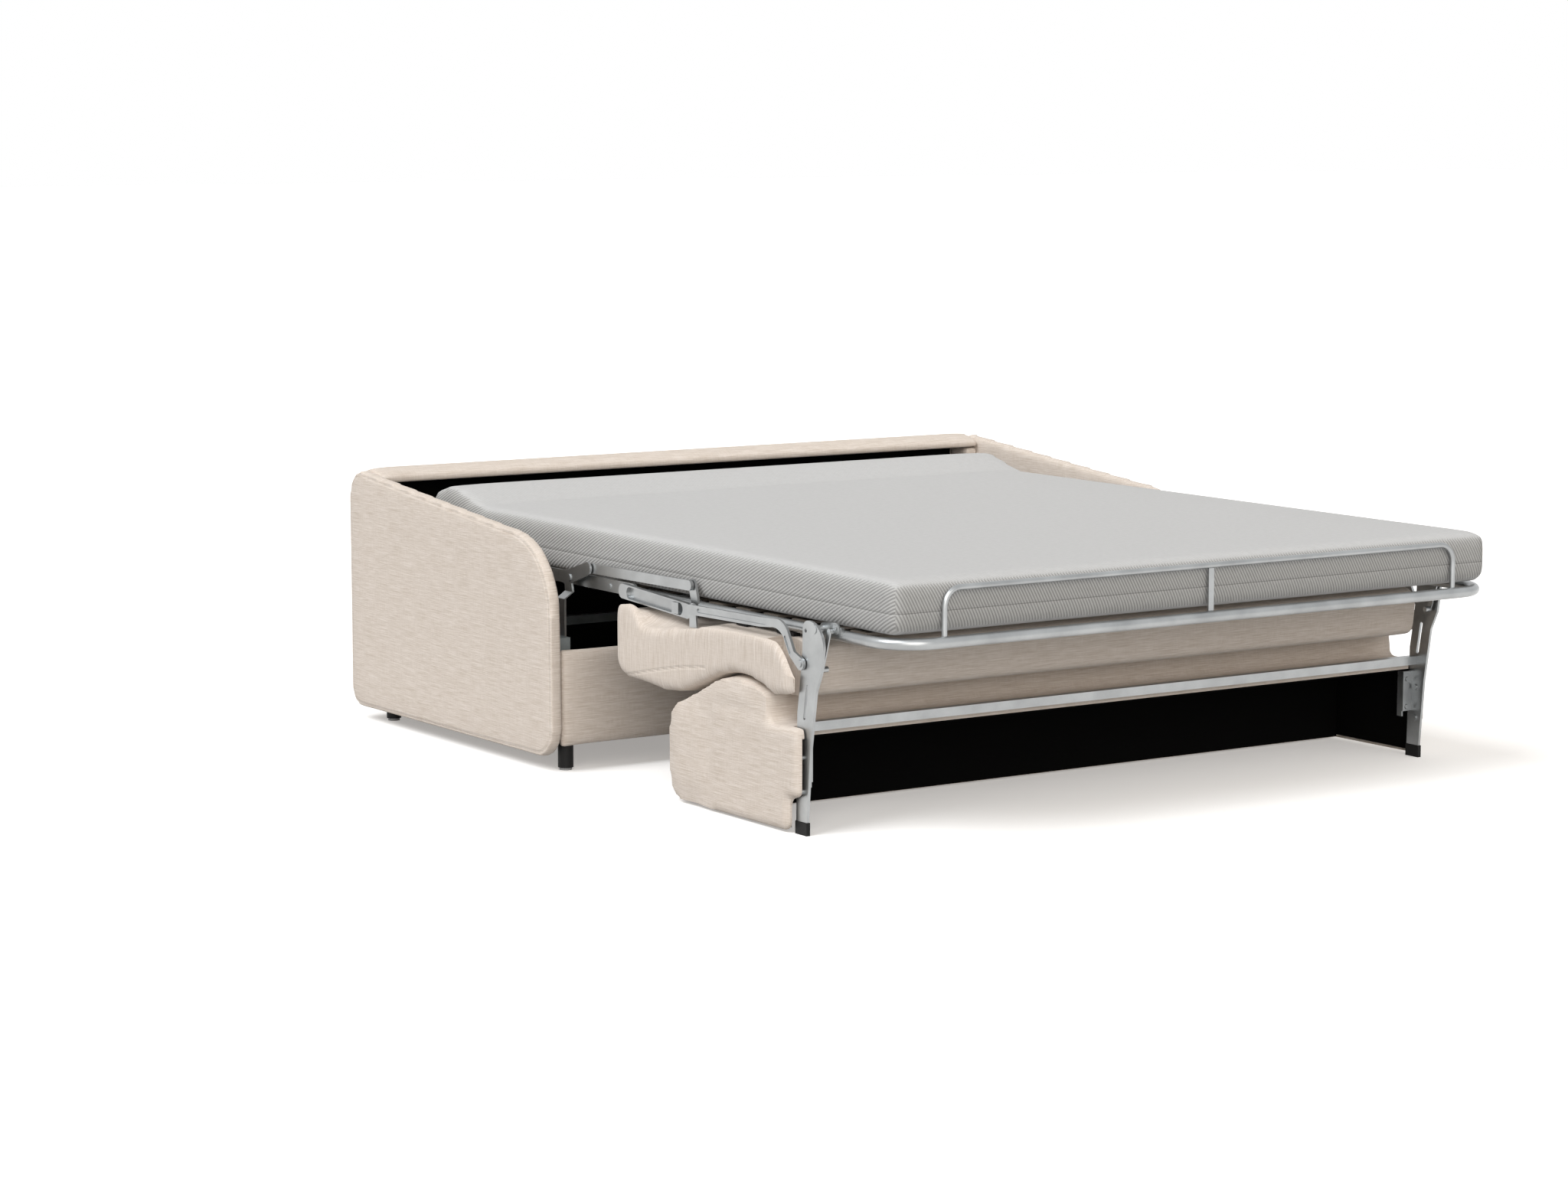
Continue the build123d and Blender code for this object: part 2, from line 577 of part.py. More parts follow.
def make_backrest():
    front = BACKREST_FRONT_D
    rear = front - BACKREST_RUN
    roof = HOLLOW_ROOF
    moves = [
        (rear, roof - 50),
        ((rear + 9, roof - 2), (rear + 46, roof + 24)),
        (rear + 147, roof + 68),
        ((rear + 271, roof + 101), (front - 132, roof + 82)),
        ((front - 120, roof + 76), (front - 115, roof + 64)),
        (front - 115, roof + 30),
        ((front - 112, roof + 23), (front - 105, roof + 20)),
        (front - 5, roof + 20),
        (front, roof + 15),
        (front, roof - 119),
        (front - 37, roof - 130),
        (front - 37, 19),
        ((front - 41, 7), (front - 53, 3)),
        (rear + 70, 2),
        ((rear + 17, 20), (rear, roof - 130)),
    ]
    solid = soft_slab((rear, roof - 70), moves, -CUSHION_HALF, CUSHION_HALF, CUSHION_SOFT)
    inner = CUSHION_HALF - BACKREST_WALL
    solid = solid - block(-inner, inner, HOLLOW_D, front + 60, -20, roof)
    gap = 3.0
    for side in (1, -1):
        ends = sorted((side * (LEG_X - gap), side * (LEG_X + LEG_THICK + gap)))
        solid = solid - block(ends[0], ends[1], front - 42, front + 60, -20, roof + 60)
    lip_half = LEG_X - gap
    lip_d = LEG_BAR_D - gap
    solid = solid - block(-lip_half, lip_half, lip_d, front + 60, -20, roof + 60)
    keep("backrest_cushion", solid)

    wall = block(-inner, inner, HOLLOW_D, HOLLOW_D + LINING, 7, roof)
    ceiling = block(-inner, inner, HOLLOW_D, front - 12, roof - LINING, roof)
    cheek = block(inner - LINING, inner, HOLLOW_D, front - 42, 12, roof)
    front_cheek = block(inner - LINING, inner, front - 42, front - 14, roof - 114, roof)
    lining = wall + ceiling + cheek + front_cheek + mirror(cheek + front_cheek, about=Plane.YZ)
    for side in (1, -1):
        ends = sorted((side * (LEG_X - gap), side * (LEG_X + LEG_THICK + gap)))
        lining = lining - block(ends[0], ends[1], front - 42, front, roof - 8, roof + 8)
    lining = lining - block(-lip_half, lip_half, lip_d, front, roof - 8, roof + 8)
    keep("backrest_lining", lining)


def make_seat():
    lug_flat = SEAT_TOP - 18
    front = SEAT_FRONT_D
    rear = front - SEAT_RUN
    top = SEAT_TOP
    moves = [
        ((rear + 4, top - 10), (rear + 24, top - 4)),
        (rear + 90, top - 3),
        ((rear + 170, top - 9), (rear + 239, top - 22)),
        (P6[0] - 14, lug_flat),
        (P6[0] + 20, lug_flat),
        ((P6[0] + 68, top - 4), (P6[0] + 118, top)),
        (front - 22, top),
        ((front - 3, top - 6), (front, top - 24)),
        (front - 5, top - 91),
        ((front - 13, top - 112), (front - 37, top - 117)),
        (front - 111, top - 121),
        ((front - 234, top - 91), (front - 358, top - 124)),
        (rear + 270, top - 155),
        ((rear + 200, top - 168), (rear + 130, top - 160)),
        (rear + 60, top - 157),
        ((rear + 20, top - 141), (rear + 5, top - 100)),
    ]
    solid = soft_slab((rear, top - 26), moves, -CUSHION_HALF, CUSHION_HALF, CUSHION_SOFT)
    for side in (1, -1):
        ends = sorted((side * SEAT_NOTCH_X, side * (CUSHION_HALF + 10)))
        solid = solid - block(ends[0], ends[1], SEAT_NOTCH_D, front + 23, top - 196, top + 30)
    keep("seat_cushion", solid)

    glides = []
    glide_top = TUBE_Z - TUBE_R - SEAT_GAP
    for low_d, high_d in ((front - 316, front - 275), (front - 163, front - 101)):
        glides.append(block(TUBE_X - 9, TUBE_X + 8, low_d, high_d, top, glide_top))
    keep("seat_glides", both(*glides))
    lug_foot = (P6[0] - 11, lug_flat)
    lug_moves = [
        (P6[0] + 17, lug_flat),
        (P6[0] + 12, P6[1] + 3),
        ((P6[0], P6[1] + 13), (P6[0] - 11, P6[1] + 3)),
    ]
    lug = plate(lug_foot, lug_moves, SEAT_LUG_X, SEAT_LUG_THICK)
    keep_pair("seat_lug", lug + pin(P6, PIN_R - 1, SEAT_LUG_X, ROD_X + ROD_THICK))


def make_links():
    half = 11.0
    link = capsule(P2, P3, half, UPPER_LINK_X, UPPER_LINK_THICK)
    link = link - pin(P3, PIN_R + PIN_CLEAR, UPPER_LINK_X - 1, UPPER_LINK_X + UPPER_LINK_THICK + 1)
    keep_pair("upper_link", link)
    face = UPPER_LINK_X + UPPER_LINK_THICK
    keep("link_rivets", both(pin(P2, RIVET_R - 1, face, face + RIVET_HEIGHT)))

    top = 10.5
    straight_end = P8[0] - 148
    moves = [
        (straight_end, P6[1] + top + 4),
        (P8[0] - 86, P6[1] + top + 7),
        ((P8[0] - 58, P6[1] + 9.5), (P8[0] - 42, P6[1] - 8)),
        (P8[0] - 22, P8[1] + 22),
        (P8[0] + 6, P8[1] + 11),
        ((P8[0] + 13, P8[1] - 3), (P8[0] - 6, P8[1] - 12)),
        (P8[0] - 38, P8[1] + 12),
        (P8[0] - 59, P6[1] - 18),
        ((P8[0] - 74, P6[1] - 6), (P8[0] - 106, P6[1] - 2)),
        (straight_end, P6[1] - top + 5),
        (P6[0], P6[1] - top),
        ((P6[0] - top, P6[1]), (P6[0] - 1, P6[1] + top)),
    ]
    rod = plate((P6[0], P6[1] + top), moves, ROD_X, ROD_THICK)
    groove_x = ROD_X + ROD_THICK - 2.5
    groove = capsule((P6[0] + 34, P6[1] + 1), (straight_end + 20, P6[1] + 5), 4.5, groove_x, ROD_THICK)
    lower_start = (P8[0] - 54, P6[1] - 16)
    lower_end = (P8[0] - 35, P8[1] + 17)
    lower_groove = capsule(lower_start, lower_end, 3.0, groove_x, ROD_THICK)
    rod = rod - groove - lower_groove - pin(P6, PIN_R - 1 + PIN_CLEAR, ROD_X - 1, ROD_X + ROD_THICK + 1)
    keep_pair("rod", rod)
    face = ROD_X + ROD_THICK
    keep("rod_rivets", both(pin(P8, RIVET_R - 1, face, face + RIVET_HEIGHT)))


make_body()
make_posts()
make_head_section()
make_middle_section()
make_foot_section()
make_legs()
make_backrest()
make_seat()
make_links()

os.makedirs("parts", exist_ok=True)
for name, shape in nodes.items():
    export_step(shape, "parts/" + name + ".step")
print(len(nodes), "nodes")
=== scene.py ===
import math

import bpy
import numpy as np
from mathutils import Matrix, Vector


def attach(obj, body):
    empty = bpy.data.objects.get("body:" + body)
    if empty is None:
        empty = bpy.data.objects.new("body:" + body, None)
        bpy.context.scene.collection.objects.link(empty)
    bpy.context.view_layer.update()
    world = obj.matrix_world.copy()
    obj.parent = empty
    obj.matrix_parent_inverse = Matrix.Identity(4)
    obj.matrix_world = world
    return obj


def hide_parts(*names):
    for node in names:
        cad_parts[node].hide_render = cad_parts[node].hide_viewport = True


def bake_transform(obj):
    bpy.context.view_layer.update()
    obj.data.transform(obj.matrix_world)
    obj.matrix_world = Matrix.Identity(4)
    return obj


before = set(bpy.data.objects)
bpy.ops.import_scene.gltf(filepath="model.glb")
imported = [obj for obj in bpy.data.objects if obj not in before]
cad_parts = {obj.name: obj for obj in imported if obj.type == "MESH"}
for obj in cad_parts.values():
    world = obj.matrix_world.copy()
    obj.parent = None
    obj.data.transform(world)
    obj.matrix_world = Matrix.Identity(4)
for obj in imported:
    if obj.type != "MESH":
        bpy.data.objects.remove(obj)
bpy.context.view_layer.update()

# Depths d grow from the back of the sofa towards the foot of the bed. Sizes are in millimetres,
# apart from BACK_Y, the frame's y at depth 0, which is in metres.
BACK_Y = 0.981

# Arms, back and front rail
ARM_IN = 888.0
ARM_OUT = 922.0
ARM_BACK = -80.0
ARM_FRONT = 882.0
ARM_BOTTOM = 32.0
ARM_TOP = 603.5
ARM_SEAM_IN = 9.0
BODY_HALF = ARM_IN - 0.5
BACK_RAIL_REAR = -77.0
BACK_RAIL_FRONT = 23.0
BACK_RAIL_BOTTOM = 573.0
BACK_RAIL_TOP = 609.0
BOARD_REAR = -79.0
BOARD_FRONT = -58.5
BOARD_BOTTOM = 50.0
BOARD_TOP = 572.5
RETURN_REAR = -57.5
RETURN_FRONT = 18.0
RETURN_BOTTOM = 73.5
RETURN_WIDTH = 35.0
FRONT_RAIL_REAR = 851.0
FRONT_RAIL_FRONT = 878.0
FRONT_RAIL_BOTTOM = 59.0
FRONT_RAIL_TOP = 275.0

# Seat and backrest
CUSHION_HALF = 864.0
SEAT_REAR = 1056.0
SEAT_FRONT = 1777.0
SEAT_BOTTOM = 229.0
SEAT_TOP = 396.0
REST_REAR = 1268.0
REST_FRONT = 1768.0
REST_BOTTOM = 1.0
REST_TOP = 303.0
BAR_HALF = 833.0
CHEEK_IN = 838.0

# Mattress
BED_HALF = 800.0
BED_BOTTOM = 428.0
BED_TOP = 543.0
BED_HEAD = 110.0
BED_FOOT = 2016.0
BED_CUT = 1181.0
BED_SEAM = 477.0
PILLOW_TOP = 580.0

# Cloth patterns
RIB_PITCH = 6.5
RIB_TURN = math.radians(28)
LOOP_PITCH = 2.6
TWILL_PITCH = 3.1
WEFT_PITCH = 1.9
# Each yarn's length, thickness, noise layer and share of the tone
YARNS = [(66.0, 1.7, 0.0, 0.40), (26.0, 0.95, 7.0, 0.28), (2.4, 30.0, 3.0, 0.12), (220.0, 6.0, 11.0, 0.10)]
THREAD_SHARE = 0.10
FAR_FROM_SEAM = 99.0

# Filling of the covers by cloth pressure
FILL_PRESSURE = 4.0
FILL_STEPS = 20
EVEN_ROUNDS = 16


def at(d, z, x=0.0):
    """A place in the frame from depth, height and width in millimetres."""
    return Vector((x / 1000, BACK_Y - d / 1000, z / 1000))


# Modelling


def only(piece):
    """Picks this piece and no other."""
    bpy.ops.object.select_all(action="DESELECT")
    piece.select_set(True)
    bpy.context.view_layer.objects.active = piece


def edit_all(piece):
    """Opens the piece for editing with all of its mesh picked."""
    only(piece)
    bpy.ops.object.mode_set(mode="EDIT")
    bpy.ops.mesh.select_all(action="SELECT")


def end_edit():
    bpy.ops.object.mode_set(mode="OBJECT")


def apply_modifier(piece, kind, **settings):
    """Puts a modifier on the piece and makes its result the mesh."""
    only(piece)
    modifier = piece.modifiers.new(kind.lower(), kind)
    for name, value in settings.items():
        setattr(modifier, name, value)
    bpy.ops.object.modifier_apply(modifier=modifier.name)


def places(piece):
    """Where the piece's points are, in metres."""
    flat = np.zeros(len(piece.data.vertices) * 3)
    piece.data.vertices.foreach_get("co", flat)
    return flat.reshape(-1, 3)


def put_places(piece, spots):
    """Moves the piece's points to these places."""
    piece.data.vertices.foreach_set("co", np.asarray(spots, float).ravel())
    piece.data.update()


ARC_STEP = 14.0


def outline(*steps):
    """A side outline in depth and height; a pair of points is the middle and the end of an arc."""
    line = [steps[0]]
    for step in steps[1:]:
        if not isinstance(step[0], tuple):
            line.append(step)
            continue
        a, b, c = (complex(*p) for p in (line[-1], step[0], step[1]))
        w = (c - a) / (b - a)
        centre = a + (b - a) * (w - abs(w) ** 2) / (2j * w.imag)
        first = a - centre
        turn = np.angle((c - centre) / first)
        middle = np.angle((b - centre) / first)
        if turn * middle < 0:
            turn -= math.copysign(2 * math.pi, turn)
        count = max(3, int(abs(turn) * abs(first) / ARC_STEP))
        for i in range(1, count + 1):
            p = centre + first * np.exp(1j * turn * i / count)
            line.append((p.real, p.imag))
    return line


def traced(name, line, x_low, x_high):
    """A block whose side outline is traced point by point, filled and drawn out across the bed."""
    bpy.ops.object.select_all(action="DESELECT")
    bpy.ops.mesh.primitive_plane_add(size=0.01, location=(0, 0, 0))
    piece = bpy.context.object
    piece.name = name
    bpy.ops.object.mode_set(mode="EDIT")
    bpy.ops.mesh.select_mode(type="VERT")
    bpy.ops.mesh.select_all(action="SELECT")
    bpy.ops.mesh.merge(type="CENTER")
    here = at(*line[0], x_low)
    bpy.ops.transform.translate(value=here)
    for point in line[1:]:
        there = at(*point, x_low)
        bpy.ops.mesh.extrude_vertices_move(TRANSFORM_OT_translate={"value": there - here})
        here = there
    bpy.ops.mesh.select_all(action="SELECT")
    bpy.ops.mesh.edge_face_add()
    width = (x_high - x_low) / 1000
    bpy.ops.mesh.extrude_region_move(TRANSFORM_OT_translate={"value": (width, 0, 0)})
    bpy.ops.mesh.select_all(action="SELECT")
    bpy.ops.mesh.normals_make_consistent(inside=False)
    end_edit()
    return piece


def box_block(name, d_low, d_high, z_low, z_high, x_low, x_high):
    """A plain box between two depths, two heights and two widths."""
    corners = [(d_low, z_low), (d_high, z_low), (d_high, z_high), (d_low, z_high)]
    return traced(name, corners, x_low, x_high)


def cut_away(piece, cutter):
    """Takes the cutter's shape out of the piece, and the cutter out of the scene."""
    apply_modifier(piece, "BOOLEAN", operation="DIFFERENCE", object=cutter, solver="MANIFOLD")
    bpy.data.objects.remove(cutter, do_unlink=True)


def even_skin(piece, voxel, rounds):
    """Gives the piece an even skin and takes its edges round, as cover cloth does over foam."""
    apply_modifier(piece, "REMESH", mode="VOXEL", voxel_size=voxel / 1000, use_smooth_shade=True)
    apply_modifier(piece, "SMOOTH", factor=0.5, iterations=rounds)


def evened(piece, moved, rounds):
    """Averages a movement over neighbouring points, so that it leaves no crumples."""
    ends = np.zeros(len(piece.data.edges) * 2, int)
    piece.data.edges.foreach_get("vertices", ends)
    a, b = ends.reshape(-1, 2).T
    count = len(moved)
    share = np.bincount(ends, minlength=count)
    for _ in range(rounds):
        around = [np.bincount(a, moved[b, k], count) + np.bincount(b, moved[a, k], count) for k in range(3)]
        moved = (moved + np.stack([part / share for part in around], 1)) / 2
    return moved


def fill_out(piece, cap, share=None):
    """Blows the cover up from inside by cloth pressure; no point moves more than cap millimetres."""
    before = places(piece)
    cloth = piece.modifiers.new("fill", "CLOTH")
    settings = cloth.settings
    settings.quality = 2
    settings.mass = 0.35
    settings.tension_stiffness = 12
    settings.compression_stiffness = 12
    settings.shear_stiffness = 6
    settings.bending_stiffness = 0.8
    settings.use_pressure = True
    settings.uniform_pressure_force = FILL_PRESSURE
    settings.effector_weights.gravity = 0
    cloth.collision_settings.use_collision = False
    cloth.collision_settings.use_self_collision = False
    scene = bpy.context.scene
    for step in range(1, FILL_STEPS + 1):
        scene.frame_set(step)
    only(piece)
    bpy.ops.object.modifier_apply(modifier=cloth.name)
    scene.frame_set(1)
    moved = places(piece) - before
    run = np.linalg.norm(moved, axis=1, keepdims=True)
    moved = evened(piece, moved * np.minimum(1, cap / 1000 / np.maximum(run, 1e-9)), EVEN_ROUNDS)
    if share is not None:
        moved *= share(before)[:, None]
    put_places(piece, before + moved)


def fit_to(piece, low, high):
    """Scales the finished form to its box, given by two corners in depth, height and width."""
    spots = places(piece)
    small, large = spots.min(0), spots.max(0)
    a, b = np.minimum(at(*low), at(*high)), np.maximum(at(*low), at(*high))
    put_places(piece, a + (spots - small) / (large - small) * (b - a))


def finer(piece):
    """Divides the skin once more and shades it smooth."""
    apply_modifier(piece, "SUBSURF", levels=1, render_levels=1)
    only(piece)
    bpy.ops.object.shade_smooth()


def keep_creases(piece, degrees):
    """Shades the piece smooth, apart from edges sharper than the angle."""
    only(piece)
    bpy.ops.object.shade_smooth_by_angle(angle=math.radians(degrees))


def rise(value, start, run):
    """0 up to start, 1 from the end of the run on, smooth between; a negative run falls instead."""
    t = np.clip((value - start) / run, 0, 1)
    return t * t * (3 - 2 * t)


def depth_height(spots):
    """Depth, height and half width of each point in millimetres."""
    return (BACK_Y - spots[:, 1]) * 1000, spots[:, 2] * 1000, np.abs(spots[:, 0]) * 1000


def away_from(line, d, z, closed=True):
    """Distance of each point from a traced line, in millimetres."""
    points = np.array(line + line[:1] if closed else line, float)
    best = np.full(len(d), 1e9)
    here = np.stack([d, z], 1)
    for a, b in zip(points[:-1], points[1:]):
        run = b - a
        t = np.clip(((here - a) @ run) / max(run @ run, 1e-9), 0, 1)
        best = np.minimum(best, np.linalg.norm(here - a - t[:, None] * run, axis=1))
    return best


def note_seam(piece, distance):
    """Keeps each point's distance from the nearest seam, which the cloth's material sews."""
    seam = piece.data.attributes.new("seam_run", "FLOAT", "POINT")
    seam.data.foreach_set("value", np.asarray(distance, np.float32))


def note_rest(piece):
    """Keeps each point's rest place and facing, so that the pattern stays on cloth that bends."""
    spots = places(piece).astype(np.float32)
    facing = np.zeros(len(spots) * 3, np.float32)
    piece.data.vertices.foreach_get("normal", facing)
    for name, values in (("rest_place", spots.ravel()), ("rest_facing", facing)):
        kept = piece.data.attributes.new(name, "FLOAT_VECTOR", "POINT")
        kept.data.foreach_set("vector", values)


def copied(piece, name):
    """A second piece with its own mesh."""
    twin = piece.copy()
    twin.data = piece.data.copy()
    twin.name = name
    bpy.context.scene.collection.objects.link(twin)
    return twin


def mirrored(piece, name):
    """The other hand's piece."""
    twin = copied(piece, name)
    spots = places(twin)
    spots[:, 0] *= -1
    put_places(twin, spots)
    edit_all(twin)
    bpy.ops.mesh.flip_normals()
    end_edit()
    return twin


# Finishes


def feed(tree, socket, term):
    """Gives a socket a plain value, or the output of another node."""
    if isinstance(term, bpy.types.NodeSocket):
        tree.links.new(term, socket)
    else:
        socket.default_value = term


def calc(tree, operation, *terms, clamp=False):
    """One step of arithmetic."""
    made = tree.nodes.new("ShaderNodeMath")
    made.operation = operation
    made.use_clamp = clamp
    for socket, term in zip(made.inputs, terms):
        feed(tree, socket, term)
    return made.outputs[0]


def tint(tree, share, a, b):
    """Colour a where share is 0, colour b where it is 1."""
    made = tree.nodes.new("ShaderNodeMix")
    made.data_type = "RGBA"
    for socket, term in zip((made.inputs[0], made.inputs[6], made.inputs[7]), (share, a, b)):
        feed(tree, socket, term)
    return made.outputs[2]


def ramp(tree, value, low, high):
    """0 below low, 1 above high, smooth between."""
    made = tree.nodes.new("ShaderNodeMapRange")
    made.interpolation_type = "SMOOTHSTEP"
    feed(tree, made.inputs["Value"], value)
    made.inputs["From Min"].default_value = low
    made.inputs["From Max"].default_value = high
    return made.outputs["Result"]


def parts_of(tree, vector):
    """A vector's x, y and z."""
    made = tree.nodes.new("ShaderNodeSeparateXYZ")
    feed(tree, made.inputs[0], vector)
    return made.outputs


def mottle(tree, u, v, w, detail=2.0):
    """Smooth noise that changes over about one unit; detail adds finer noise to it."""
    spot = tree.nodes.new("ShaderNodeCombineXYZ")
    for socket, term in zip(spot.inputs, (u, v, w)):
        feed(tree, socket, term)
    made = tree.nodes.new("ShaderNodeTexNoise")
    made.inputs["Scale"].default_value = 1.0
    made.inputs["Detail"].default_value = detail
    tree.links.new(spot.outputs[0], made.inputs["Vector"])
    return made.outputs["Fac"]


def effect(name, wants, gives):
    """A shader node group with named inputs and outputs; returns the tree and its two ends."""
    tree = bpy.data.node_groups.new(name, "ShaderNodeTree")
    for label, kind in wants:
        tree.interface.new_socket(label, in_out="INPUT", socket_type="NodeSocket" + kind)
    for label in gives:
        tree.interface.new_socket(label, in_out="OUTPUT", socket_type="NodeSocketFloat")
    return tree, tree.nodes.new("NodeGroupInput").outputs, tree.nodes.new("NodeGroupOutput").inputs


def use(tree, group, **terms):
    """Places a node group and feeds its inputs."""
    made = tree.nodes.new("ShaderNodeGroup")
    made.node_tree = group
    for name, term in terms.items():
        feed(tree, made.inputs[name], term)
    return made.outputs


def facing_masks(tree, facing):
    """How a point faces: 1 where mainly sideways, 1 where mainly along the bed, 1 where mainly up or down."""
    x, y, z = (calc(tree, "ABSOLUTE", part) for part in parts_of(tree, facing))
    side = calc(tree, "GREATER_THAN", x, calc(tree, "MAXIMUM", y, z))
    flat = calc(tree, "GREATER_THAN", z, calc(tree, "MAXIMUM", x, y))
    along = calc(tree, "SUBTRACT", 1.0, calc(tree, "ADD", side, flat), clamp=True)
    return side, along, flat


def make_cloth_run():
    """Unrolls the cloth: U runs level and V across it, in millimetres."""
    tree, given, out = effect("cloth_run", [("Place", "Vector"), ("Facing", "Vector")], ["U", "V"])
    x, y, z = (calc(tree, "MULTIPLY", part, 1000.0) for part in parts_of(tree, given["Place"]))
    side, _, flat = facing_masks(tree, given["Facing"])
    swing = calc(tree, "MULTIPLY", side, calc(tree, "SUBTRACT", y, x))
    feed(tree, out["U"], calc(tree, "ADD", x, swing))
    lift = calc(tree, "MULTIPLY", flat, calc(tree, "SUBTRACT", y, z))
    feed(tree, out["V"], calc(tree, "ADD", z, lift))
    return tree


def make_slub_weave():
    """Thick and thin yarns along U over a fine twill; Tone is light against dark yarn."""
    tree, given, out = effect("slub_weave", [("U", "Float"), ("V", "Float")], ["Tone", "Height"])
    u, v = given["U"], given["V"]
    twill = calc(tree, "SINE", calc(tree, "MULTIPLY", calc(tree, "ADD", u, v), 2 * math.pi / TWILL_PITCH))
    weft = calc(tree, "SINE", calc(tree, "MULTIPLY", v, 2 * math.pi / WEFT_PITCH))
    thread = calc(tree, "MULTIPLY_ADD", calc(tree, "ADD", twill, weft), 0.25, 0.5)
    tone = 0.0
    for length, thickness, layer, share in YARNS:
        yarn = mottle(tree, calc(tree, "DIVIDE", u, length), calc(tree, "DIVIDE", v, thickness), layer)
        tone = calc(tree, "MULTIPLY_ADD", yarn, share, tone)
    tone = calc(tree, "MULTIPLY_ADD", thread, THREAD_SHARE, tone)
    feed(tree, out["Tone"], ramp(tree, tone, 0.34, 0.66))
    bulk = calc(tree, "MULTIPLY_ADD", thread, 0.55, calc(tree, "MULTIPLY", tone, 0.9))
    feed(tree, out["Height"], bulk)
    return tree


def make_ribbed_knit():
    """Slanting ribs of one sheet that wraps over the bed's edges; Rib is their height."""
    wants = [("Place", "Vector"), ("Facing", "Vector")]
    tree, given, out = effect("ribbed_knit", wants, ["Rib", "Loop", "Flat", "Z"])
    x, y, z = (calc(tree, "MULTIPLY", part, 1000.0) for part in parts_of(tree, given["Place"]))
    d = calc(tree, "SUBTRACT", BACK_Y * 1000, y)
    side, along, flat = facing_masks(tree, given["Facing"])
    face_x, face_y, _ = parts_of(tree, given["Facing"])
    drop = calc(tree, "SUBTRACT", BED_TOP, z)
    hand, end = calc(tree, "SIGN", face_x), calc(tree, "SIGN", face_y)
    edge_x = calc(tree, "MULTIPLY", hand, calc(tree, "ADD", drop, BED_HALF))
    run_x = calc(tree, "MULTIPLY_ADD", side, calc(tree, "SUBTRACT", edge_x, x), x)
    half_run = calc(tree, "ADD", drop, (BED_FOOT - BED_HEAD) / 2)
    edge_d = calc(tree, "SUBTRACT", (BED_FOOT + BED_HEAD) / 2, calc(tree, "MULTIPLY", end, half_run))
    run_d = calc(tree, "MULTIPLY_ADD", along, calc(tree, "SUBTRACT", edge_d, d), d)
    c, s = math.cos(RIB_TURN), math.sin(RIB_TURN)
    across = calc(tree, "SUBTRACT", calc(tree, "MULTIPLY", run_x, c), calc(tree, "MULTIPLY", run_d, s))
    down = calc(tree, "ADD", calc(tree, "MULTIPLY", run_x, s), calc(tree, "MULTIPLY", run_d, c))
    wave = calc(tree, "SINE", calc(tree, "MULTIPLY", across, 2 * math.pi / RIB_PITCH))
    feed(tree, out["Rib"], calc(tree, "MULTIPLY_ADD", wave, 0.5, 0.5))
    loop = calc(tree, "SINE", calc(tree, "MULTIPLY", down, 2 * math.pi / LOOP_PITCH))
    feed(tree, out["Loop"], calc(tree, "MULTIPLY_ADD", loop, 0.5, 0.5))
    feed(tree, out["Flat"], flat)
    feed(tree, out["Z"], z)
    return tree


def make_sewn_seam():
    """From the distance to a seam in millimetres: its line, and the cloth's dip beside it."""
    tree, given, out = effect("sewn_seam", [("Run", "Float")], ["Line", "Dip"])
    feed(tree, out["Line"], calc(tree, "SUBTRACT", 1.0, ramp(tree, given["Run"], 0.3, 1.5)))
    feed(tree, out["Dip"], calc(tree, "SUBTRACT", 1.0, ramp(tree, given["Run"], 0.0, 6.0)))
    return tree


def make_handling():
    """Fine grain and broad rubbing of a hard surface."""
    tree, given, out = effect("handling", [("Place", "Vector"), ("Grain", "Float")], ["Grain", "Rub"])
    x, y, z = parts_of(tree, given["Place"])
    fine = [calc(tree, "MULTIPLY", part, given["Grain"]) for part in (x, y, z)]
    feed(tree, out["Grain"], mottle(tree, *fine, detail=3.0))
    broad = [calc(tree, "MULTIPLY", part, 14.0) for part in (x, y, z)]
    feed(tree, out["Rub"], mottle(tree, *broad, detail=4.0))
    return tree


CLOTH_RUN = make_cloth_run()
SLUB_WEAVE = make_slub_weave()
RIBBED_KNIT = make_ribbed_knit()
SEWN_SEAM = make_sewn_seam()
HANDLING = make_handling()


# Darker and lighter colour of each cloth and of the slats
BEIGE = ((0.545, 0.467, 0.395, 1), (0.775, 0.71, 0.655, 1))
BEIGE_SEAM = (0.24, 0.19, 0.15, 1)
TICKING_TOP = ((0.365, 0.367, 0.365, 1), (0.605, 0.61, 0.615, 1))
TICKING_EDGE = ((0.225, 0.225, 0.222, 1), (0.50, 0.50, 0.495, 1))
TICKING_SEAM = (0.14, 0.14, 0.135, 1)
LINING_BLACK = ((0.0012, 0.0012, 0.0012, 1), (0.0045, 0.0045, 0.0043, 1))
SLAT_BROWN = ((0.07, 0.058, 0.047, 1), (0.13, 0.11, 0.09, 1))


def new_finish(name):
    """A material, its node tree and its Principled shader."""
    finish = bpy.data.materials.new(name)
    finish.use_nodes = True
    tree = finish.node_tree
    shader = next(n for n in tree.nodes if n.type == "BSDF_PRINCIPLED")
    return finish, tree, shader


def object_place(tree):
    """Where a point of the piece is, and how it faces."""
    made = tree.nodes.new("ShaderNodeTexCoord")
    return made.outputs["Object"], made.outputs["Normal"]


def kept(tree, name, output):
    """A value that the piece's points hold."""
    made = tree.nodes.new("ShaderNodeAttribute")
    made.attribute_name = name
    return made.outputs[output]


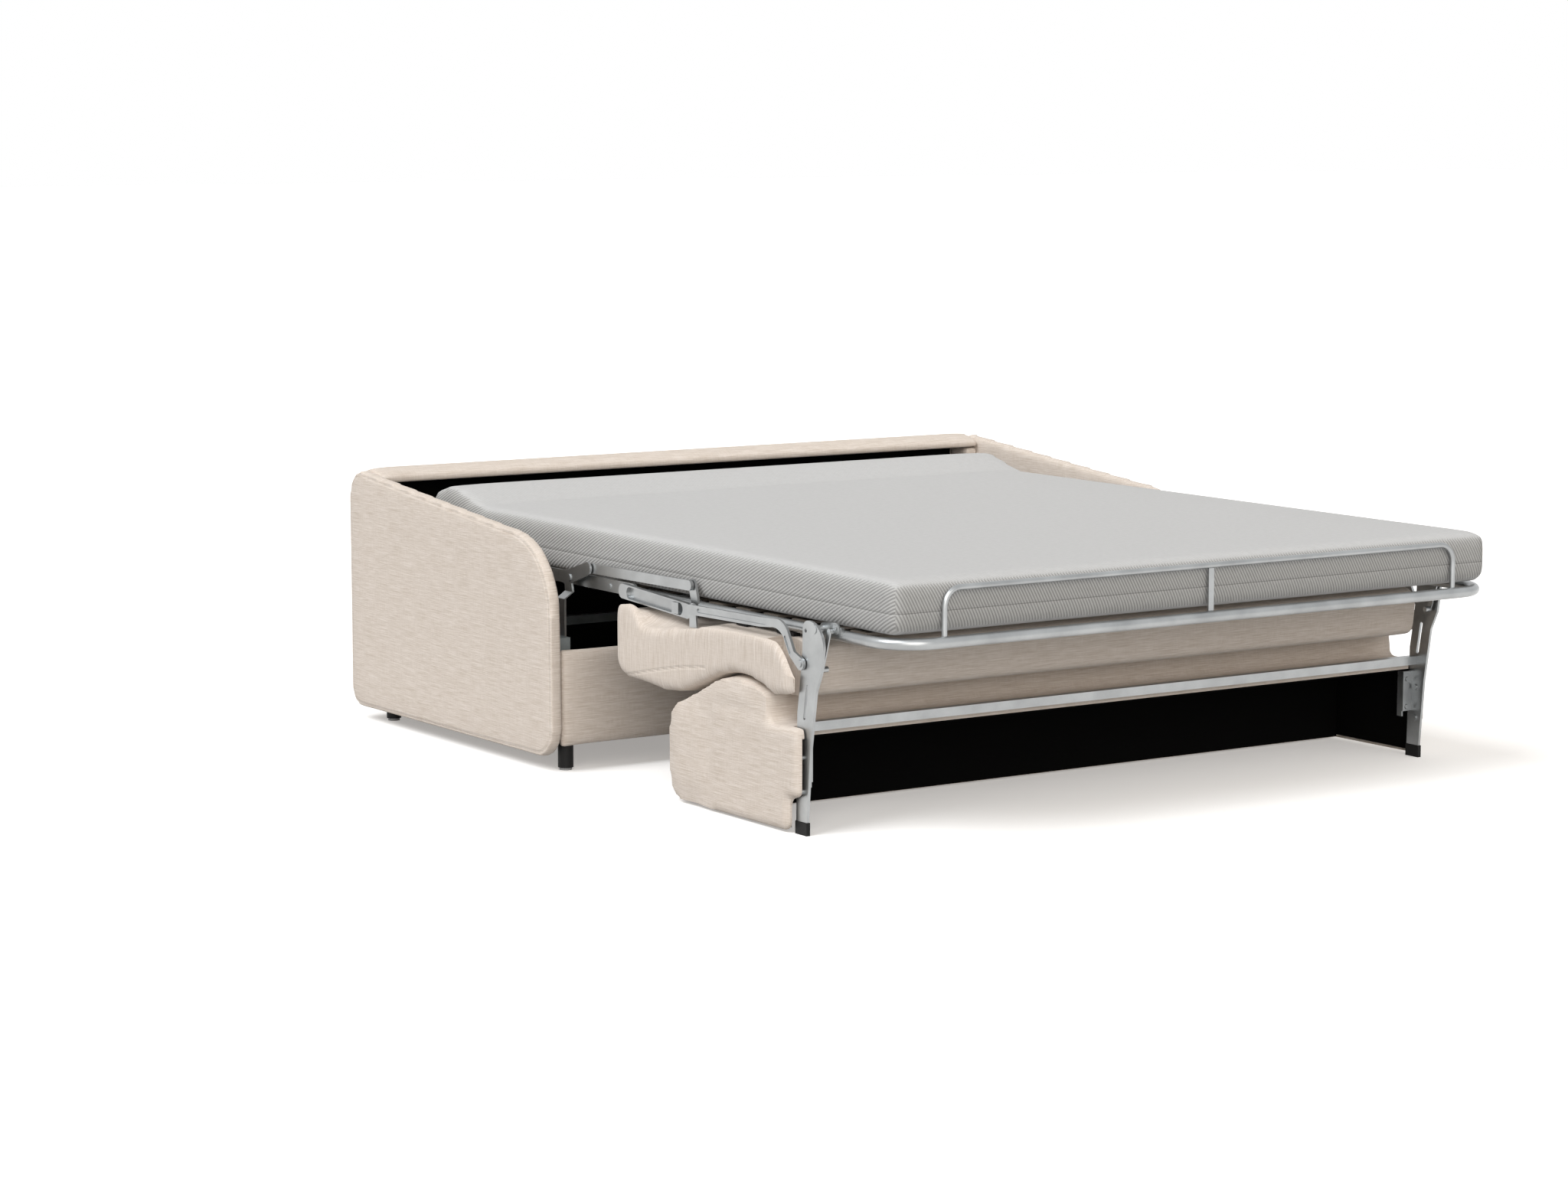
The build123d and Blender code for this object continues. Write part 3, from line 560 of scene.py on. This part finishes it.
def raise_bump(tree, shader, height, strength, distance):
    """Turns a height into relief of the finish."""
    bump = tree.nodes.new("ShaderNodeBump")
    bump.inputs["Strength"].default_value = strength
    bump.inputs["Distance"].default_value = distance
    tree.links.new(height, bump.inputs["Height"])
    tree.links.new(bump.outputs["Normal"], shader.inputs["Normal"])


def beige_weave(name, sewn=False, turned=False):
    """Beige slub cloth; sewn cloth shows its seams, turned cloth has upright yarns on the side faces."""
    finish, tree, shader = new_finish(name)
    place, facing = object_place(tree)
    run = use(tree, CLOTH_RUN, Place=place, Facing=facing)
    level, across = run["U"], run["V"]
    if turned:
        side = facing_masks(tree, facing)[0]
        level = calc(tree, "MULTIPLY_ADD", side, calc(tree, "SUBTRACT", run["V"], run["U"]), run["U"])
        across = calc(tree, "MULTIPLY_ADD", side, calc(tree, "SUBTRACT", run["U"], run["V"]), run["V"])
    weave = use(tree, SLUB_WEAVE, U=level, V=across)
    colour = tint(tree, weave["Tone"], *BEIGE)
    height = calc(tree, "MULTIPLY", weave["Height"], 0.5)
    if sewn:
        seam = use(tree, SEWN_SEAM, Run=kept(tree, "seam_run", "Fac"))
        dark = calc(tree, "MULTIPLY", seam["Line"], 0.26)
        colour = tint(tree, dark, colour, BEIGE_SEAM)
        height = calc(tree, "SUBTRACT", height, calc(tree, "MULTIPLY", seam["Dip"], 2.2))
    tree.links.new(colour, shader.inputs["Base Color"])
    rough = calc(tree, "MULTIPLY_ADD", weave["Tone"], -0.08, 0.96)
    tree.links.new(rough, shader.inputs["Roughness"])
    shader.inputs["Specular IOR Level"].default_value = 0.18
    shader.inputs["Sheen Weight"].default_value = 0.12
    shader.inputs["Sheen Roughness"].default_value = 0.5
    raise_bump(tree, shader, height, 0.55, 0.0012)
    return finish


def grey_knit(name):
    """Grey ribbed ticking, smoother and paler on top, with a seam round its edge."""
    finish, tree, shader = new_finish(name)
    knit = use(tree, RIBBED_KNIT, Place=kept(tree, "rest_place", "Vector"),
               Facing=kept(tree, "rest_facing", "Vector"))
    rest = parts_of(tree, kept(tree, "rest_place", "Vector"))
    soft = mottle(tree, *(calc(tree, "MULTIPLY", part, 90.0) for part in rest), detail=3.0)
    loops = calc(tree, "MULTIPLY_ADD", knit["Loop"], 0.16, knit["Rib"])
    show = calc(tree, "MULTIPLY_ADD", knit["Flat"], -0.72, 1.0)
    light = calc(tree, "MULTIPLY", calc(tree, "SUBTRACT", loops, 0.62), show)
    light = calc(tree, "MULTIPLY_ADD", light, 0.62, 0.62)
    light = calc(tree, "MULTIPLY_ADD", calc(tree, "SUBTRACT", soft, 0.5), 0.22, light)
    light = ramp(tree, light, 0.0, 1.0)
    facing_up = calc(tree, "ABSOLUTE", parts_of(tree, kept(tree, "rest_facing", "Vector"))[2])
    level = ramp(tree, facing_up, 0.35, 0.95)
    on_top = tint(tree, light, *TICKING_TOP)
    on_edge = tint(tree, light, *TICKING_EDGE)
    colour = tint(tree, level, on_edge, on_top)
    seam_run = calc(tree, "ABSOLUTE", calc(tree, "SUBTRACT", knit["Z"], BED_SEAM))
    seam = use(tree, SEWN_SEAM, Run=seam_run)
    on_side = calc(tree, "SUBTRACT", 1.0, knit["Flat"])
    line = calc(tree, "MULTIPLY", calc(tree, "MULTIPLY", seam["Line"], on_side), 0.6)
    colour = tint(tree, line, colour, TICKING_SEAM)
    tree.links.new(colour, shader.inputs["Base Color"])
    shader.inputs["Roughness"].default_value = 0.93
    shader.inputs["Specular IOR Level"].default_value = 0.16
    shader.inputs["Sheen Weight"].default_value = 0.10
    dip = calc(tree, "MULTIPLY", calc(tree, "MULTIPLY", seam["Dip"], on_side), 1.4)
    height = calc(tree, "SUBTRACT", calc(tree, "MULTIPLY", loops, show), dip)
    raise_bump(tree, shader, height, 0.5, 0.0016)
    return finish


def black_cloth(name):
    """Thin black lining."""
    finish, tree, shader = new_finish(name)
    place, _ = object_place(tree)
    grain = use(tree, HANDLING, Place=place, Grain=900.0)
    colour = tint(tree, grain["Grain"], *LINING_BLACK)
    tree.links.new(colour, shader.inputs["Base Color"])
    rough = calc(tree, "MULTIPLY_ADD", grain["Rub"], 0.1, 0.88)
    tree.links.new(rough, shader.inputs["Roughness"])
    shader.inputs["Specular IOR Level"].default_value = 0.04
    raise_bump(tree, shader, grain["Grain"], 0.35, 0.0006)
    return finish


def hard_finish(name, dark, light, rough, metal, grain_size, bump, shine=0.5):
    """Steel or plastic with a fine grain, rubbed lighter in places."""
    finish, tree, shader = new_finish(name)
    place, _ = object_place(tree)
    grain = use(tree, HANDLING, Place=place, Grain=grain_size)
    blend = calc(tree, "MULTIPLY_ADD", grain["Rub"], 0.7, calc(tree, "MULTIPLY", grain["Grain"], 0.3))
    tree.links.new(tint(tree, ramp(tree, blend, 0.3, 0.7), dark, light), shader.inputs["Base Color"])
    spread = calc(tree, "MULTIPLY_ADD", grain["Rub"], 0.16, rough - 0.08)
    tree.links.new(spread, shader.inputs["Roughness"])
    shader.inputs["Metallic"].default_value = metal
    shader.inputs["Specular IOR Level"].default_value = shine
    raise_bump(tree, shader, grain["Grain"], bump, 0.0004)
    return finish


def slat_ply(name):
    """Dark plywood, its grain running across the bed."""
    finish, tree, shader = new_finish(name)
    place, _ = object_place(tree)
    x, y, z = parts_of(tree, place)
    grain = mottle(tree, calc(tree, "MULTIPLY", x, 9.0), calc(tree, "MULTIPLY", y, 320.0),
                   calc(tree, "MULTIPLY", z, 320.0), detail=4.0)
    broad = mottle(tree, calc(tree, "MULTIPLY", x, 2.0), calc(tree, "MULTIPLY", y, 40.0), z)
    tone = calc(tree, "MULTIPLY_ADD", grain, 0.7, calc(tree, "MULTIPLY", broad, 0.3))
    colour = tint(tree, ramp(tree, tone, 0.3, 0.7), *SLAT_BROWN)
    tree.links.new(colour, shader.inputs["Base Color"])
    tree.links.new(calc(tree, "MULTIPLY_ADD", grain, 0.2, 0.5), shader.inputs["Roughness"])
    raise_bump(tree, shader, grain, 0.3, 0.0004)
    return finish


FABRIC = beige_weave("woven_fabric")
SEWN_FABRIC = beige_weave("woven_fabric_sewn", sewn=True)
SEAT_FABRIC = beige_weave("woven_fabric_seat", sewn=True, turned=True)
TICKING = grey_knit("mattress_ticking")
LINING = black_cloth("black_lining")
STEEL = hard_finish(
    "grey_steel", dark=(0.315, 0.326, 0.332, 1), light=(0.43, 0.445, 0.451, 1),
    rough=0.34, metal=0.95, grain_size=1400.0, bump=0.12,
)
DARK_STEEL = hard_finish(
    "black_steel", dark=(0.16, 0.185, 0.195, 1), light=(0.24, 0.27, 0.28, 1),
    rough=0.45, metal=0.3, grain_size=1200.0, bump=0.12,
)
BLACK_PLASTIC = hard_finish(
    "black_plastic", dark=(0.004, 0.004, 0.004, 1), light=(0.011, 0.011, 0.011, 1),
    rough=0.55, metal=0.0, grain_size=700.0, bump=0.2, shine=0.2,
)
GREY_PLASTIC = hard_finish(
    "grey_plastic", dark=(0.30, 0.305, 0.31, 1), light=(0.42, 0.425, 0.43, 1),
    rough=0.5, metal=0.0, grain_size=700.0, bump=0.2,
)
SLAT_PLY = slat_ply("slat_wood")


def dress(piece, finish):
    """Gives the piece its finish."""
    piece.data.materials.clear()
    piece.data.materials.append(finish)


# Upholstery


def drawn_in(line, by):
    """The outline brought in about the middle of its box, so that the filled piece ends at its size."""
    points = np.array(line)
    low, high = points.min(0), points.max(0)
    middle, size = (low + high) / 2, high - low
    return [tuple(p) for p in middle + (points - middle) * (1 - 2 * by / size)]


def finish_soft(piece, body, fill, *nodes):
    """Hangs a filled cover on its body in place of the plain solids."""
    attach(piece, body)
    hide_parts(*nodes)


ARM_LINE = outline(
    (-30, ARM_BOTTOM), (814, 34), ((862, 54), (ARM_FRONT, 102)), (880, 340), ((859, 434), (812, 492)),
    ((760, 519), (690, 532)), (-22, ARM_TOP), ((-60.5, 584.5), (ARM_BACK, 538.5)), (ARM_BACK, 80),
    ((-65.9, 46.1), (-32, ARM_BOTTOM)),
)


def make_arms():
    arm = traced("arm_right_cover", drawn_in(ARM_LINE, 3), ARM_IN + 2, ARM_OUT - 2)
    even_skin(arm, voxel=8, rounds=3)
    fill_out(arm, cap=3)
    fit_to(arm, (ARM_BACK, ARM_BOTTOM, ARM_IN), (ARM_FRONT, ARM_TOP, ARM_OUT))
    finer(arm)
    d, z, x = depth_height(places(arm))
    rim = away_from(ARM_LINE, d, z)
    outer = x > (ARM_IN + ARM_OUT) / 2
    note_seam(arm, np.where(outer, np.abs(rim - ARM_SEAM_IN), FAR_FROM_SEAM))
    dress(arm, SEWN_FABRIC)
    left = mirrored(arm, "arm_left_cover")
    finish_soft(arm, "sofa_body", 0.8, "arm_right")
    finish_soft(left, "sofa_body", 0.8, "arm_left")


BACK_RAIL_LINE = outline(
    (-76, 575), (17, 576), ((17, 584), (-3, 598)), ((-34, 608), (-67, 599)), ((-74, 594), (-75, 587)),
)


def make_back():
    half = BODY_HALF
    rail = traced("back_top_cover", BACK_RAIL_LINE, -half + 3, half - 3)
    even_skin(rail, voxel=8, rounds=3)
    fill_out(rail, cap=4)
    fit_to(rail, (BACK_RAIL_REAR, BACK_RAIL_BOTTOM, -half), (BACK_RAIL_FRONT, BACK_RAIL_TOP, half))
    finer(rail)
    dress(rail, FABRIC)
    finish_soft(rail, "sofa_body", 0.8, "back_top_rail")

    thick, tall = (BOARD_REAR + 3, BOARD_FRONT - 1.5), (BOARD_BOTTOM + 2, BOARD_TOP + 1.5)
    board = box_block("back_panel_cover", *thick, *tall, -half + 2, half - 2)
    even_skin(board, voxel=9, rounds=2)
    fit_to(board, (BOARD_REAR, BOARD_BOTTOM, -half), (BOARD_FRONT, BOARD_TOP, half))
    dress(board, FABRIC)
    finish_soft(board, "sofa_body", 0.8, "back_board")

    deep, tall = (RETURN_REAR + 2.5, RETURN_FRONT - 2), (RETURN_BOTTOM + 3.5, BOARD_TOP - 2.5)
    strip = box_block("back_return_right_cover", *deep, *tall, half - RETURN_WIDTH + 2, half - 2)
    even_skin(strip, voxel=7, rounds=2)
    fit_to(strip, (RETURN_REAR, RETURN_BOTTOM, half - RETURN_WIDTH), (RETURN_FRONT, BOARD_TOP, half))
    dress(strip, FABRIC)
    twin = mirrored(strip, "back_return_left_cover")
    finish_soft(strip, "sofa_body", 0.8, "back_return_right")
    finish_soft(twin, "sofa_body", 0.8, "back_return_left")


FRONT_RAIL_LINE = outline(
    (853, 61), (853, 267), ((855, 271), (859, 273)), (864, 273), ((873, 270), (876, 261)),
    (876, 72), ((873, 64), (866, 61)),
)


def make_front_rail():
    half = BODY_HALF
    rail = traced("front_rail_cover", FRONT_RAIL_LINE, -half + 2, half - 2)
    even_skin(rail, voxel=8, rounds=2)
    fill_out(rail, cap=4)
    fit_to(rail, (FRONT_RAIL_REAR, FRONT_RAIL_BOTTOM, -half), (FRONT_RAIL_FRONT, FRONT_RAIL_TOP, half))
    dress(rail, FABRIC)
    finish_soft(rail, "sofa_body", 0.8, "front_rail")


SEAT_LINE = outline(
    (1060, 370), ((1064, 386), (1084, 392)), (1150, 393), ((1230, 387), (1299, 374)), (1328, 376),
    (1362, 378), ((1410, 392), (1460, SEAT_TOP)), (1755, SEAT_TOP), ((1774, 390), (SEAT_FRONT, 372)),
    (1772, 305), ((1764, 284), (1740, 279)), (1666, 275), ((1543, 305), (1419, 272)), (1330, 238),
    ((1260, 227), (1190, 232)), (1120, 237), ((1074, 252), (1063, 296)),
)
BACKREST_LINE = outline(
    (1272, 130), (1272, 164), ((1283, 199), (1318, 225)), (1419, 269), ((1543, 302), (1637, 283)),
    ((1648, 277), (1652, 264)), (1652, 230), ((1655, 223), (1662, 221)), (1762, 221), (1767, 216), (1767, 81),
    (1730, 70), (1730, 19), ((1726, 7), (1714, 3)), (1326, 2), ((1286, 14), (1272, 54)),
)


# Depth and height along the seat's top, beside the links and between them
SEAT_SIDE_TOP = [
    (1056, 382), (1064, 395), (1078, 406), (1106, 412), (1127, 410), (1146, 388), (1160, 368),
    (1200, 366), (1245, 370), (1300, 380), (1360, 391), (1420, 400), (1479, 405), (1520, 407),
    (1566, 408), (1605, 407), (1640, 404), (1680, 394), (1705, 374), (1724, 350), (1745, 330),
]
SEAT_MIDDLE_TOP = [
    (1060, 380), (1084, 392), (1150, 393), (1230, 387), (1299, 374), (1362, 378), (1410, 392),
    (1460, SEAT_TOP),
]
SEAT_LOW_SEAM = [(1085, 245), (1150, 258), (1220, 273), (1321, 292), (1418, 304)]
SEAM_SIDE = 835.0
LIP_NARROWS = 1300.0
FLAP_START = 1712.0
FLAP_DRAW = 8.0
# Each notch's name, rear end, inner side and outer side
SEAT_NOTCHES = [("leg_notch", 1640, 812, 852), ("front_notch", 1744, 840, 900)]
NOTCH_FRONT = 1830.0
NOTCH_BOTTOM = 180.0
NOTCH_TOP = 450.0


def lift_sides(seat):
    """The seat's outer edges stand up beside the links, and are pressed down where the links lie on them."""
    spots = places(seat)
    d, z, x = depth_height(spots)
    side = np.interp(d, *np.array(SEAT_SIDE_TOP).T)
    inner = np.interp(d, *np.array(SEAT_MIDDLE_TOP).T)
    lip = np.where(d < LIP_NARROWS, rise(x, 836, 20), rise(x, 849, 9))
    grow = np.where(side > inner, lip, rise(x, 800, 45))
    high = rise(z, 318, 62)
    moved = np.zeros_like(spots)
    moved[:, 2] = (side - inner) * grow * high / 1000
    flap = rise(d, FLAP_START, 34) * rise(x, 840, 12)
    moved[:, 0] = -np.sign(spots[:, 0]) * FLAP_DRAW * flap / 1000
    put_places(seat, spots + evened(seat, moved, 3))


def make_seat():
    seat = traced("seat_cover", drawn_in(SEAT_LINE, 5), -CUSHION_HALF + 8, CUSHION_HALF - 8)
    even_skin(seat, voxel=11.6, rounds=2)
    fill_out(seat, cap=5)
    fit_to(seat, (SEAT_REAR, SEAT_BOTTOM, -CUSHION_HALF), (SEAT_FRONT, SEAT_TOP, CUSHION_HALF))
    finer(seat)
    lift_sides(seat)
    for side in (1, -1):
        for name, rear, inner, outer in SEAT_NOTCHES:
            across = sorted((side * inner, side * outer))
            cut_away(seat, box_block(name, rear, NOTCH_FRONT, NOTCH_BOTTOM, NOTCH_TOP, *across))
    d, z, x = depth_height(places(seat))
    note_seam(seat, np.where(x > SEAM_SIDE, away_from(SEAT_LOW_SEAM, d, z, closed=False), FAR_FROM_SEAM))
    keep_creases(seat, 48)
    dress(seat, SEAT_FABRIC)
    finish_soft(seat, "seat_section", 0.7, "seat_cushion")


EDGE_ROUND = 7.0
CHEEK_FULLNESS = 0.35
SLOT_OUT = 845.0
HOLLOW_HALF = 850.0
PAST_FRONT = 1900.0
PAST_BOTTOM = -50.0
# Each cut's name, rear end, top and two sides
REST_CUTS = [
    ("bar_space", 1738, 300, -BAR_HALF, BAR_HALF),
    ("hollow", 1480, 200, -HOLLOW_HALF, HOLLOW_HALF),
    ("leg_slot", 1725, 260, BAR_HALF, SLOT_OUT),
    ("leg_slot", 1725, 260, -SLOT_OUT, -BAR_HALF),
]


def away_from_hollow(spots):
    """0 round the thin cheeks and the hollow's mouth, 1 on the padded top and rear."""
    d, z, _ = depth_height(spots)
    return np.maximum(rise(d, 1460, -90), rise(z, 225, 45))


def square_cheeks(rest):
    """Keeps the hollow's thin side walls full right up to their edges."""
    spots = places(rest)
    d, z, x = depth_height(spots)
    rim = away_from(BACKREST_LINE, d, z)
    full = CUSHION_HALF - EDGE_ROUND * (1 - rise(rim, 0, 2 * EDGE_ROUND))
    share = np.clip((x - CHEEK_IN) / (CUSHION_HALF - CHEEK_IN), 0, 1) ** CHEEK_FULLNESS
    thin = rise(d, 1430, 40) * rise(z, 240, -30)
    wide = np.where(x > CHEEK_IN, x + (CHEEK_IN + (full - CHEEK_IN) * share - x) * thin, x)
    spots[:, 0] = np.sign(spots[:, 0]) * wide / 1000
    put_places(rest, spots)


def make_backrest():
    rest = traced("backrest_cover", drawn_in(BACKREST_LINE, 5), -CUSHION_HALF + 8, CUSHION_HALF - 8)
    even_skin(rest, voxel=8, rounds=2)
    fill_out(rest, cap=4, share=away_from_hollow)
    fit_to(rest, (REST_REAR, REST_BOTTOM, -CUSHION_HALF), (REST_FRONT, REST_TOP, CUSHION_HALF))
    square_cheeks(rest)
    for name, rear, top, x_low, x_high in REST_CUTS:
        cut_away(rest, box_block(name, rear, PAST_FRONT, PAST_BOTTOM, top, x_low, x_high))
    keep_creases(rest, 42)
    dress(rest, FABRIC)
    finish_soft(rest, "leg_section", 0.75, "backrest_cushion")


BED_LINE = outline(
    (130, BED_BOTTOM), (1990, BED_BOTTOM), ((2010, 435), (BED_FOOT, 455)), (BED_FOOT, 513),
    ((2009, 535), (1986, BED_TOP)), (345, 545), (255, 571), ((172, 579), (128, 565)),
    ((114, 553), (BED_HEAD, 531)), (BED_HEAD, 450), ((115, 434), (129, BED_BOTTOM)),
)


def make_mattress():
    bed = traced("mattress_head_cover", drawn_in(BED_LINE, 2), -BED_HALF + 3, BED_HALF - 3)
    even_skin(bed, voxel=16, rounds=1)
    fill_out(bed, cap=4)
    fit_to(bed, (BED_HEAD - 1, BED_BOTTOM, -BED_HALF), (BED_FOOT, PILLOW_TOP, BED_HALF))
    finer(bed)
    note_rest(bed)
    dress(bed, TICKING)
    foot = copied(bed, "mattress_foot_cover")
    for piece, keeps_head in ((bed, True), (foot, False)):
        edit_all(piece)
        bpy.ops.mesh.bisect(plane_co=at(BED_CUT, 0), plane_no=(0, 1, 0), use_fill=True,
                            clear_inner=keeps_head, clear_outer=not keeps_head)
        end_edit()
        keep_creases(piece, 50)
    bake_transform(bed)
    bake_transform(foot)
    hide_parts("mattress_head", "mattress_middle")
    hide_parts("mattress_foot")


HARDWARE = [
    (STEEL, [
        "head_rail_left", "head_rail_right", "head_crossbars", "post_left", "post_right", "post_rivets",
        "channel_link_left", "channel_link_right", "middle_frame", "foot_tube", "guard_rail", "guard_strut",
        "leg_bracket_left", "leg_bracket_right", "leg_left", "leg_right", "leg_crossbar", "leg_bolts",
        "keyhole_bracket_left", "keyhole_bracket_right", "bracket_screws", "seat_lug_left", "seat_lug_right",
        "link_bumpers", "upper_link_left", "upper_link_right", "link_rivets", "rod_left", "rod_right",
        "rod_rivets",
    ]),
    (DARK_STEEL, ["base_crossbar", "side_rail_left", "side_rail_right"]),
    (BLACK_PLASTIC, ["sofa_feet", "leg_caps", "seat_glides"]),
    (GREY_PLASTIC, ["sofa_glides"]),
    (LINING, ["back_lining", "backrest_lining"]),
    (SLAT_PLY, ["head_slats", "middle_slats", "foot_slats", "bottom_board"]),
]


def finish_hardware():
    for finish, nodes in HARDWARE:
        for name in nodes:
            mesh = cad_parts[name].data
            mesh.materials.clear()
            mesh.materials.append(finish)


# Room

FLOOR_SIZE = 120
FLOOR_GREY = (0.42, 0.42, 0.42, 1)
FLOOR_WHITE = (0.97, 0.97, 0.97, 1)
FLOOR_GLOW = (1, 0.965, 0.93, 1)
FLOOR_GLOW_SHARE = 0.33
ROOM_GREY = (0.43, 0.417, 0.40, 1)
ROOM_WHITE = (1, 1, 1, 1)
# Each lamp's name, strength, spread in degrees, direction that its light comes from, and colour
LAMPS = [
    ("window_light", 2.0, 35, (-0.65, -0.05, 0.76), (0.97, 0.985, 1.0)),
    ("front_light", 1.4, 50, (-0.35, -0.85, 0.40), (1.0, 0.95, 0.89)),
]
CAMERA_PLACE = (-5.0038, -6.9465, 1.4616)
CAMERA_TURN = (82.5475, 0, -33.709)
CAMERA_LENS = 85.58
CAMERA_SENSOR = 36.0


def seen_share(tree):
    """1 for what the camera, metal and glass see, 0 for what lights the object."""
    path = tree.nodes.new("ShaderNodeLightPath")
    seen = calc(tree, "MAXIMUM", path.outputs["Is Camera Ray"], path.outputs["Is Glossy Ray"])
    return calc(tree, "MAXIMUM", seen, path.outputs["Is Transmission Ray"])


def make_floor():
    bpy.ops.object.select_all(action="DESELECT")
    bpy.ops.mesh.primitive_plane_add(size=FLOOR_SIZE, location=(0, 0, 0))
    floor = bpy.context.object
    floor.name = "floor"
    bpy.ops.object.mode_set(mode="EDIT")
    bpy.ops.mesh.subdivide(number_cuts=3)
    end_edit()
    paint, tree, shader = new_finish("studio_floor")
    seen = seen_share(tree)
    tree.links.new(tint(tree, seen, FLOOR_GREY, FLOOR_WHITE), shader.inputs["Base Color"])
    shader.inputs["Roughness"].default_value = 1.0
    shader.inputs["Specular IOR Level"].default_value = 0.0
    shader.inputs["Emission Color"].default_value = FLOOR_GLOW
    tree.links.new(calc(tree, "MULTIPLY", seen, FLOOR_GLOW_SHARE), shader.inputs["Emission Strength"])
    floor.data.materials.append(paint)


def make_light():
    world = bpy.data.worlds.new("studio")
    bpy.context.scene.world = world
    world.use_nodes = True
    tree = world.node_tree
    back = next(n for n in tree.nodes if n.type == "BACKGROUND")
    tree.links.new(tint(tree, seen_share(tree), ROOM_GREY, ROOM_WHITE), back.inputs["Color"])
    back.inputs["Strength"].default_value = 1.0
    for name, energy, spread, source, colour in LAMPS:
        sun = bpy.data.lights.new(name, "SUN")
        sun.color = colour
        sun.energy = energy
        sun.angle = math.radians(spread)
        lamp = bpy.data.objects.new(name, sun)
        bpy.context.scene.collection.objects.link(lamp)
        lamp.rotation_euler = Vector(source).to_track_quat("Z", "Y").to_euler()


def make_camera():
    lens = bpy.data.cameras.new("camera")
    lens.lens = CAMERA_LENS
    lens.sensor_width = CAMERA_SENSOR
    lens.sensor_fit = "HORIZONTAL"
    lens.clip_end = 200
    camera = bpy.data.objects.new("camera", lens)
    bpy.context.scene.collection.objects.link(camera)
    camera.location = CAMERA_PLACE
    camera.rotation_euler = [math.radians(turn) for turn in CAMERA_TURN]
    bpy.context.scene.camera = camera


make_arms()
make_back()
make_front_rail()
make_seat()
make_backrest()
make_mattress()
finish_hardware()
make_floor()
make_light()
make_camera()

bpy.context.scene.view_settings.view_transform = "Standard"
